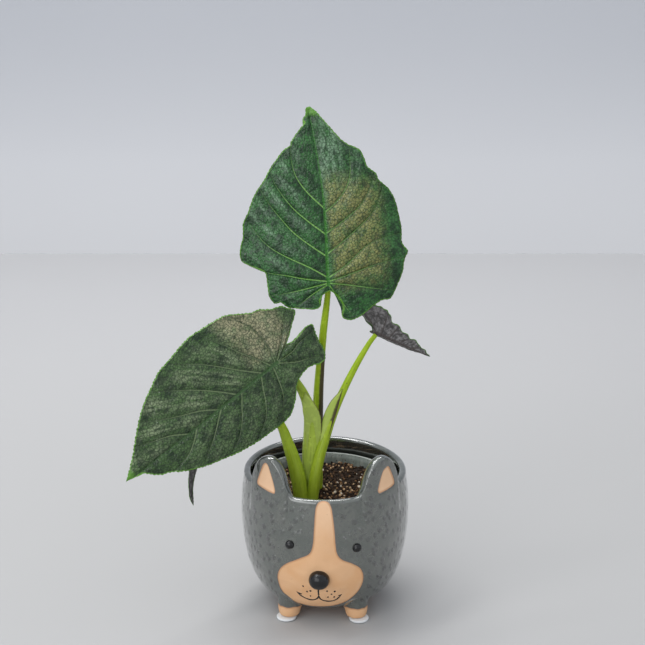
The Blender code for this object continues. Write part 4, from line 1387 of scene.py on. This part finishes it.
upright_right = (
    [
        (0.6, 111.6), (2.4, 109.8), (4, 108.3), (7.9, 102.8), (12.3, 96.7), (17.8, 89.3), (22, 85.7),
        (28.5, 81.9), (31, 76), (32.3, 70.7), (37, 66.2), (38.8, 61.5), (44.1, 55.8), (47.5, 48.6),
        (49, 39.8), (49.9, 30.5), (49.2, 21), (52.2, 15.6), (49.4, 9.9), (47.7, 3.1), (42.7, -6.7),
        (37.9, -13.4), (33.2, -13.6), (27, -16.4), (19.5, -21.3), (12.3, -23.8), (7.6, -22.6),
        (6.2, -20), (7.8, -16.3), (7.2, -11.7), (4.4, -7.2), (2, -5), (0, -4)
    ],
    [
        [(0, 106), (0.4, 111.5)],
        [(0, 45.0), (8.9, 51.1), (16.7, 59.3), (20.5, 68.0), (21.6, 76), (22, 84)],
        [(0, 32.0), (12.1, 38.7), (23.3, 46.1), (31.2, 55.4), (36.5, 66)],
        [(0, 19), (10.7, 25.8), (21.9, 33.7), (30.8, 40.7), (36.3, 48.1), (41.5, 59)],
        [(0, 4.2), (7.5, 8.2), (13.7, 12.2), (20.0, 17.2), (26.4, 21.9), (37.0, 25.4), (49, 27)],
        [(0, 2.0), (10.6, 4.2), (20.1, 6.6), (29.6, 8.9), (40.2, 10.8), (49.5, 12)],
        [(0, 1.0), (12, -1.5), (26, -5), (41, -8)],
        [(0, 0.2), (3.8, -6.5), (7.7, -13), (11.6, -19), (13.5, -24)], [(0, 0), (0, -4)]
    ]
)
upright_left = (
    [
        (0.6, 111.6), (-2, 110.7), (-2.8, 106.8), (-4.8, 103.9), (-3.9, 101.6), (-7.4, 98.2),
        (-13.3, 91.5), (-14.2, 88.9), (-19, 86.3), (-24, 81), (-28.4, 76), (-32.9, 69.3), (-38.2, 63.1),
        (-41.6, 57.8), (-45.4, 49.9), (-49, 43.8), (-50, 35.5), (-52.6, 28.2), (-52.9, 21.4),
        (-48.5, 17.4), (-39.2, 12.4), (-38.2, 4.9), (-37.9, -3.2), (-34.8, -8.2), (-30.8, -8),
        (-26.6, -11.6), (-16.5, -13.6), (-9.8, -14.6), (-6.3, -12.6), (-6.7, -9.2), (-4.4, -6.2),
        (-1.6, -4.6), (0, -4)
    ],
    [
        [(0, 106), (0.4, 111.5)], [(0, 47.6), (-8.5, 58.7), (-13.6, 69.4), (-14.7, 79.8), (-14, 89)],
        [(0, 31.3), (-10.5, 41.3), (-18.5, 50.7), (-24.7, 61.6), (-27.7, 69.9), (-28.6, 76.8)],
        [(0, 17.6), (-9.9, 25.8), (-19.2, 34.8), (-26.0, 44.7), (-31.8, 54.4), (-36.5, 65)],
        [
            (0, 4.4), (-10.4, 11.6), (-21.1, 17.9), (-29.6, 23.4), (-35.8, 28.7), (-40.8, 35.5),
            (-45, 43), (-48, 47)
        ],
        [(0, 2.0), (-14.6, 5.2), (-25.7, 8.5), (-38.6, 12), (-48, 16)],
        [(0, 1.0), (-14, -1), (-26, -2.5), (-38, -3)],
        [(0, 0.4), (-9.8, -4.5), (-18, -9.5), (-24, -13)], [(0, 0), (0, -4)]
    ]
)


# %% [markdown]
# A painted bronze reflection lies in one broad patch beside the midrib, on the right half. A painted
# silver reflection runs with the side veins in long streaks on the left half, and lies beside the
# midrib near the tip.

# %% Upright leaf, where its painted bronze and silver reflections lie
def upright_bronze_reflection(a, b):
    return (
        0.95 * smooth(2, 7, a) * smooth(78, 58, b + 0.25 * a) * smooth(44, 30, a)
        * smooth(-12, 6, b - 0.1 * a)
    )


def upright_silver_reflection(a, b):
    right = smooth(0, 4, a) * smooth(40, 60, b) * smooth(30, 22, a - 0.25 * (b - 70))
    beside_vein = b + 0.85 * a - 0.006 * a * a
    left = (
        smooth(-5, -12, a)
        * (0.45 + 0.40 * np.sin(0.44 * beside_vein + 1.2) + 0.15 * np.sin(1.1 * beside_vein))
        * smooth(-51, -42, a) * (0.35 + 0.65 * smooth(0, 40, b))
    )
    return np.clip(0.95 * right + 0.95 * left, 0, 1)


add_piece(
    "upright_leaf",
    blade_parts(
        PLACES["leaf_upright"], 111.5, [upright_right, upright_left], upright_shape, puff=1.0, bow=2.6,
        bronze=upright_bronze_reflection, silver=upright_silver_reflection
    ),
    [upright_top, green_under], ["leaf_upright"]
)

# %% [markdown]
# ## The spreading leaf
# The second leaf leans out to the left and shows its broad upper half. It is older and duller, and
# more of it carries the painted bronze reflection. Its lower margin rolls under, and a deep notch
# parts its two lobes at the stalk. It is drawn in the same way as the first.

# %% Spreading leaf, its form
def spreading_shape(a, b):
    curl = -0.006 * np.minimum(0, a + 14) ** 2 - 0.0012 * a * a
    return curl - 0.0007 * np.maximum(0, b) ** 2 + 0.08 * b


spreading_upper = (
    [
        (1, 120), (4.5, 115.5), (10.8, 107.8), (18.3, 100.1), (26.3, 91), (32, 82.8), (36, 75),
        (41, 65), (42.6, 56.3), (45.2, 44.3), (46.2, 35.4), (45.6, 28), (44.7, 18.7), (43.2, 9.9),
        (40.8, 5.2), (38.1, 0.7), (34.2, -6), (33.1, -10.7), (28.6, -17.2), (27.2, -21.2),
        (25.8, -24.6), (22.4, -27.2), (17.8, -30.6), (12.6, -23.4), (8, -16.9), (5.3, -12.4)
    ],
    [
        [(0, 114), (1, 120)], [(0, 72.7), (6.3, 82.7), (10.2, 93.5), (13.5, 104)],
        [(0, 48.5), (6.8, 58.8), (12.0, 70.5), (17.6, 81.7), (24.3, 93.1)],
        [(0, 33.5), (8.2, 41.6), (16.6, 51.1), (24.2, 61.1), (34, 76)],
        [(0, 11.6), (10.8, 23.0), (20.2, 32.1), (29.0, 41.3), (36.2, 51.5), (42.5, 58.5)],
        [(0, 4.2), (10.0, 10.1), (19.2, 16.3), (26.7, 20.2), (33.6, 24.5), (44.5, 33)],
        [(0, 1.5), (4.7, 0.2), (11.5, -1.2), (19.5, -0.9), (27.8, 0.7), (34.0, 4.1), (40.5, 8.5)],
        [(0, 0.4), (5.8, -7.2), (10.8, -13.4), (17, -20), (22, -26.5)], [(0, 0), (5.3, -12.4)]
    ]
)
spreading_lower = (
    [
        (1, 120), (-0.4, 113.6), (-1.4, 109), (-5, 105.5), (-8.9, 100.9), (-11.4, 95.2), (-15, 90.1),
        (-18.7, 83.5), (-22.8, 73.9), (-25.2, 65.7), (-28.1, 56.5), (-30, 48), (-31.6, 37.4),
        (-32.2, 27.3), (-32.8, 21.7), (-32, 12.9), (-28.6, 7.1), (-25, 2.9), (-19.7, -1.7),
        (-17.1, -6.5), (-15.4, -14.2), (-16.6, -19.5), (-18.6, -24.2), (-17.6, -28.8), (-12.3, -31.4),
        (-6.7, -31.9), (-0.1, -33.6), (3.8, -34.9), (5.6, -32.4), (5.8, -28.4), (4.4, -20),
        (4.5, -14.9), (5.3, -12.4)
    ],
    [
        [(0, 114), (1, 120)], [(0, 66.3), (-5.7, 73.1), (-10.1, 81.1), (-14.5, 95)],
        [(0, 46.8), (-5.4, 53.7), (-11.6, 61.6), (-17.5, 71), (-23.5, 79)],
        [(0, 30.1), (-7.1, 35.5), (-14.9, 41.4), (-22.1, 49.3), (-30, 62)],
        [(0, 13.6), (-6.8, 17.6), (-15.2, 21.7), (-23.6, 28.0), (-32, 41)],
        [(0, 4.0), (-9, 6), (-20, 10), (-32.5, 20)],
        [(0, 1.0), (-7.6, -10.5), (-11.4, -19.7), (-15, -28)],
        [(0, 0.2), (-1.0, -12.2), (0.6, -20.6), (1.5, -32)], [(0, 0), (5.3, -12.4)]
    ]
)


# %% [markdown]
# Here the painted bronze reflection lies on the upper lobe beside the stalk. The painted silver
# reflection is broad and soft on the upper half, and faint below the midrib.

# %% Spreading leaf, where its painted bronze and silver reflections lie
def spreading_bronze_reflection(a, b):
    return smooth(20, 4, b - 0.15 * a) * smooth(3, 9, a) * smooth(-24, -12, b)


def spreading_silver_reflection(a, b):
    upper = (
        smooth(-1, 5, a) * smooth(44, 30, a + 0.12 * (b - 40))
        * (0.70 + 0.25 * np.sin(0.22 * b + 0.1 * a))
    )
    lower = 0.35 * smooth(-1, -8, a) * smooth(100, 70, b)
    return np.clip(upper + lower, 0, 1)


add_piece(
    "spreading_leaf",
    blade_parts(
        PLACES["leaf_spreading"], 120, [spreading_upper, spreading_lower], spreading_shape, puff=0.8,
        rib=1.4, wave=(0.22, 2.2), bronze=spreading_bronze_reflection, silver=spreading_silver_reflection
    ),
    [spreading_top, dusky_under], ["leaf_spreading"]
)

# %% [markdown]
# ## The small folded leaf
# The youngest leaf on the right has folded along its midrib and turned its dusky back to the front.
# The fold isn't a bend of a finished blade: its shape is simply a V across the midrib, so its tissue
# is puffed and veined like the others'.

# %% Folded leaf
def folded_shape(a, b):
    return 0.55 * np.hypot(a, 1.5) - 0.8 + 0.02 * a * np.sin(0.3 * b)


folded_near = (
    [
        (0, 43), (-2.0, 40), (-3.8, 36), (-5.4, 31.5), (-6.4, 27), (-7.2, 22), (-7.6, 18), (-7.8, 12),
        (-7.4, 7), (-6.6, 3), (-5.6, 0), (-4.6, -2), (-3.4, -3.4), (-2.2, -3.6), (-1.0, -3.4), (0, -3)
    ],
    [
        [(0, 41), (0, 43)], [(0, 27), (-2.6, 30), (-4.6, 34.5)], [(0, 18), (-3.4, 20.5), (-6.8, 25)],
        [(0, 9), (-4, 11), (-7.8, 14)], [(0, 3), (-4, 3.6), (-7.0, 4.6)],
        [(0, 0.6), (-2.4, -1.4), (-4.6, -2)], [(0, 0), (0, -3)]
    ]
)
folded_far = (
    [
        (0, 43), (1.4, 39.5), (3.0, 36), (3.4, 32), (5.4, 28), (5.2, 24), (7.4, 20.5), (6.8, 16),
        (9.6, 12), (9.8, 7), (14, 1), (15.8, -4), (15.4, -10), (13, -14.8), (9.5, -17), (6.2, -15.6),
        (4.0, -10), (1.8, -5), (0, -3)
    ],
    [
        [(0, 41), (0, 43)], [(0, 27), (1.8, 30.5), (3.2, 34)], [(0, 18), (2.8, 20), (5.3, 23)],
        [(0, 9), (4.4, 10.6), (9.4, 11.4)], [(0, 3), (7, 2), (15.2, 0)],
        [(0, 0.6), (5, -7), (9.5, -17)], [(0, 0), (0, -3)]
    ]
)
add_piece(
    "folded_leaf",
    blade_parts(
        PLACES["leaf_right"], 43, [folded_near, folded_far], folded_shape, puff=0.7, rib=0.9,
        wave=(0.30, 6.5), thick=0.5
    ),
    [upright_top, dusky_under], ["leaf_right"]
)

# %% [markdown]
# ## The hanging leaf
# A fourth leaf hangs straight down behind the spreading one, and only its tip shows from the front.
# Its two halves mirror each other, then the whole of it sways: aside past the middle, and back again
# in a hook at the tip.

# %% Hanging leaf
def hanging_shape(a, b):
    return -0.01 * a * a - 0.002 * b * (b - 60)


def hanging_half(sign):
    """The half on one side of the midrib; sign is 1 or -1."""
    def sway(line):
        moved = []
        for a, b in line:
            aside = sign * a - 5.5 * float(smooth(20, 66, b))
            moved.append((aside + 5.0 * float(smooth(76, 88, b)), b))
        return moved

    outline = [
        (0, 87), (2.4, 82), (3.2, 76), (4.2, 69), (6, 63), (8.4, 57.5), (11, 52), (14.4, 45.5),
        (17.6, 39), (20.4, 31.5), (22, 24), (22.2, 16), (21.4, 8), (19.8, 1), (17.4, -6), (14, -11.6),
        (10.6, -13.8), (7.6, -13.2), (4.6, -9), (2.2, -5), (0, -3)
    ]
    veins = [
        [(0, 82), (0, 87)], [(0, 46), (4, 51), (7.6, 58.5)], [(0, 31), (7, 36), (14, 46)],
        [(0, 18), (9, 22), (19.6, 33)], [(0, 6), (10, 9), (22, 19)],
        [(0, 1.6), (10, -0.5), (19.4, 0.5)], [(0, 0.4), (6, -7), (11, -13.5)], [(0, 0), (0, -3)]
    ]
    return sway(outline), [sway(vein) for vein in veins]


add_piece(
    "hanging_leaf",
    blade_parts(
        PLACES["leaf_low"], 87, [hanging_half(1), hanging_half(-1)], hanging_shape, puff=0.7, rib=1.2,
        wave=(0.15, 2.4), thick=0.5
    ),
    [upright_top, dusky_under], ["leaf_low"]
)

# %% [markdown]
# ## The stage
# A small studio, set out in metres: a flat pale tabletop, and a pale wall that stands behind its far
# edge and runs down past it, so that a soft line shows where one gives way to the other. A sheet that
# sweeps up in one curve would hide that line. Both are very wide, so that the glaze mirrors no edge.

# %% Table and wall
TABLE_END, WALL_BACK, HALF_WIDTH = 0.95, 1.6, 30.0


def stage_sheet(name, near, far, colour, far_colour, axis, start, end):
    """A sheet from one edge to the other, each (y, z), shading between its colours along an axis."""
    mesh = bpy.data.meshes.new(name)
    corners = [(x, y, z) for y, z in (near, far) for x in (-HALF_WIDTH, HALF_WIDTH)]
    mesh.from_pydata(corners, [], [(0, 1, 3, 2)])
    paint = Paint(name, roughness=0.6, specular=0.2)
    place = paint.node("ShaderNodeSeparateXYZ")
    paint.set(place.inputs[0], paint.place)
    shade = paint.blend(paint.ramp(place.outputs[axis], start, end), colour, far_colour)
    paint.colour(paint.tone(shade, paint.noise(400, 2), 0.985, 1.0))
    mesh.materials.append(paint.material)
    sheet = bpy.data.objects.new(name, mesh)
    bpy.context.scene.collection.objects.link(sheet)


stage_sheet(
    "tabletop", (-4.0, -0.0004), (TABLE_END, -0.0004), (0.436, 0.434, 0.430), (0.480, 0.478, 0.482),
    "Y", start=0.1, end=0.8
)
# Painted light: the wall is lighter near the table and darker towards the top.
stage_sheet(
    "backdrop", (WALL_BACK, -1.2), (WALL_BACK, 3.6), (0.640, 0.640, 0.650), (0.470, 0.482, 0.511),
    "Z", start=-0.2, end=0.3
)
print("the table ends", TABLE_END, "m back and the wall stands", WALL_BACK, "m back")

# %% [markdown]
# ## Light
# Area lights are soft, as windows and lamp panels are; a sun or a point lamp would cut hard shadows.
# Two big ones stand in front and to the left. A broad one hangs overhead, with two long narrow panes
# near it that draw clean bright streaks on the glaze, and one more washes the wall. A pale sky fills
# the shadows.

# %% Light
def area_light(name, place, target, size, power, colour=(1, 1, 1), height=None):
    data = bpy.data.lights.new(name, "AREA")
    data.energy, data.color, data.size = power, colour, size
    if height:
        data.shape, data.size_y = "RECTANGLE", height
    lamp = bpy.data.objects.new(name, data)
    lamp.location = place
    lamp.rotation_euler = (Vector(target) - Vector(place)).to_track_quat("-Z", "Y").to_euler()
    bpy.context.scene.collection.objects.link(lamp)


area_light("softbox_overhead", (-0.55, 0.35, 1.55), (0, 0, 0.12), 1.3, 1.5, (1.0, 0.99, 0.97))
area_light("window_front", (-1.0, -2.0, 0.8), (0, 0, 0.15), 1.9, 15, (1.0, 1.0, 1.0))
area_light("window_high", (-1.3, -1.0, 1.5), (0, 0, 0.2), 1.5, 6, (1.0, 1.0, 1.0))
area_light("pane_near", (-0.25, 0.26, 1.45), (0, 0, 0.1), 1.6, 6.5, (1, 1, 1), 0.13)
area_light("pane_far", (-0.25, 0.56, 1.38), (0, 0, 0.1), 1.6, 6.5, (1, 1, 1), 0.13)
area_light("wall_wash", (-0.5, 0.3, 2.3), (-0.2, 1.6, 0.5), 1.8, 7.5, (0.98, 0.98, 1.0))
world = bpy.data.worlds.new("studio")
world.use_nodes = True
world.node_tree.nodes["Background"].inputs["Color"].default_value = (0.92, 0.95, 1.0, 1)
world.node_tree.nodes["Background"].inputs["Strength"].default_value = 0.80
bpy.context.scene.world = world
bpy.context.scene.view_settings.view_transform = "Standard"

# %% [markdown]
# ## Camera
# The camera looks down on the plant a little, from about a metre in front, through a lens that is
# longer than a person's view, so that the upright leaf doesn't loom over the pot.

# %% Camera
camera = bpy.data.objects.new("camera", bpy.data.cameras.new("camera"))
camera.data.sensor_width, camera.data.lens = 36.0, 81.2
camera.location = (0.0235, -0.8714, 0.460)
camera.rotation_euler = (math.radians(73.1), 0, 0)
bpy.context.scene.collection.objects.link(camera)
bpy.context.scene.camera = camera
print("camera: lens", camera.data.lens, "mm,", round(camera.location.length, 2), "m from the origin")
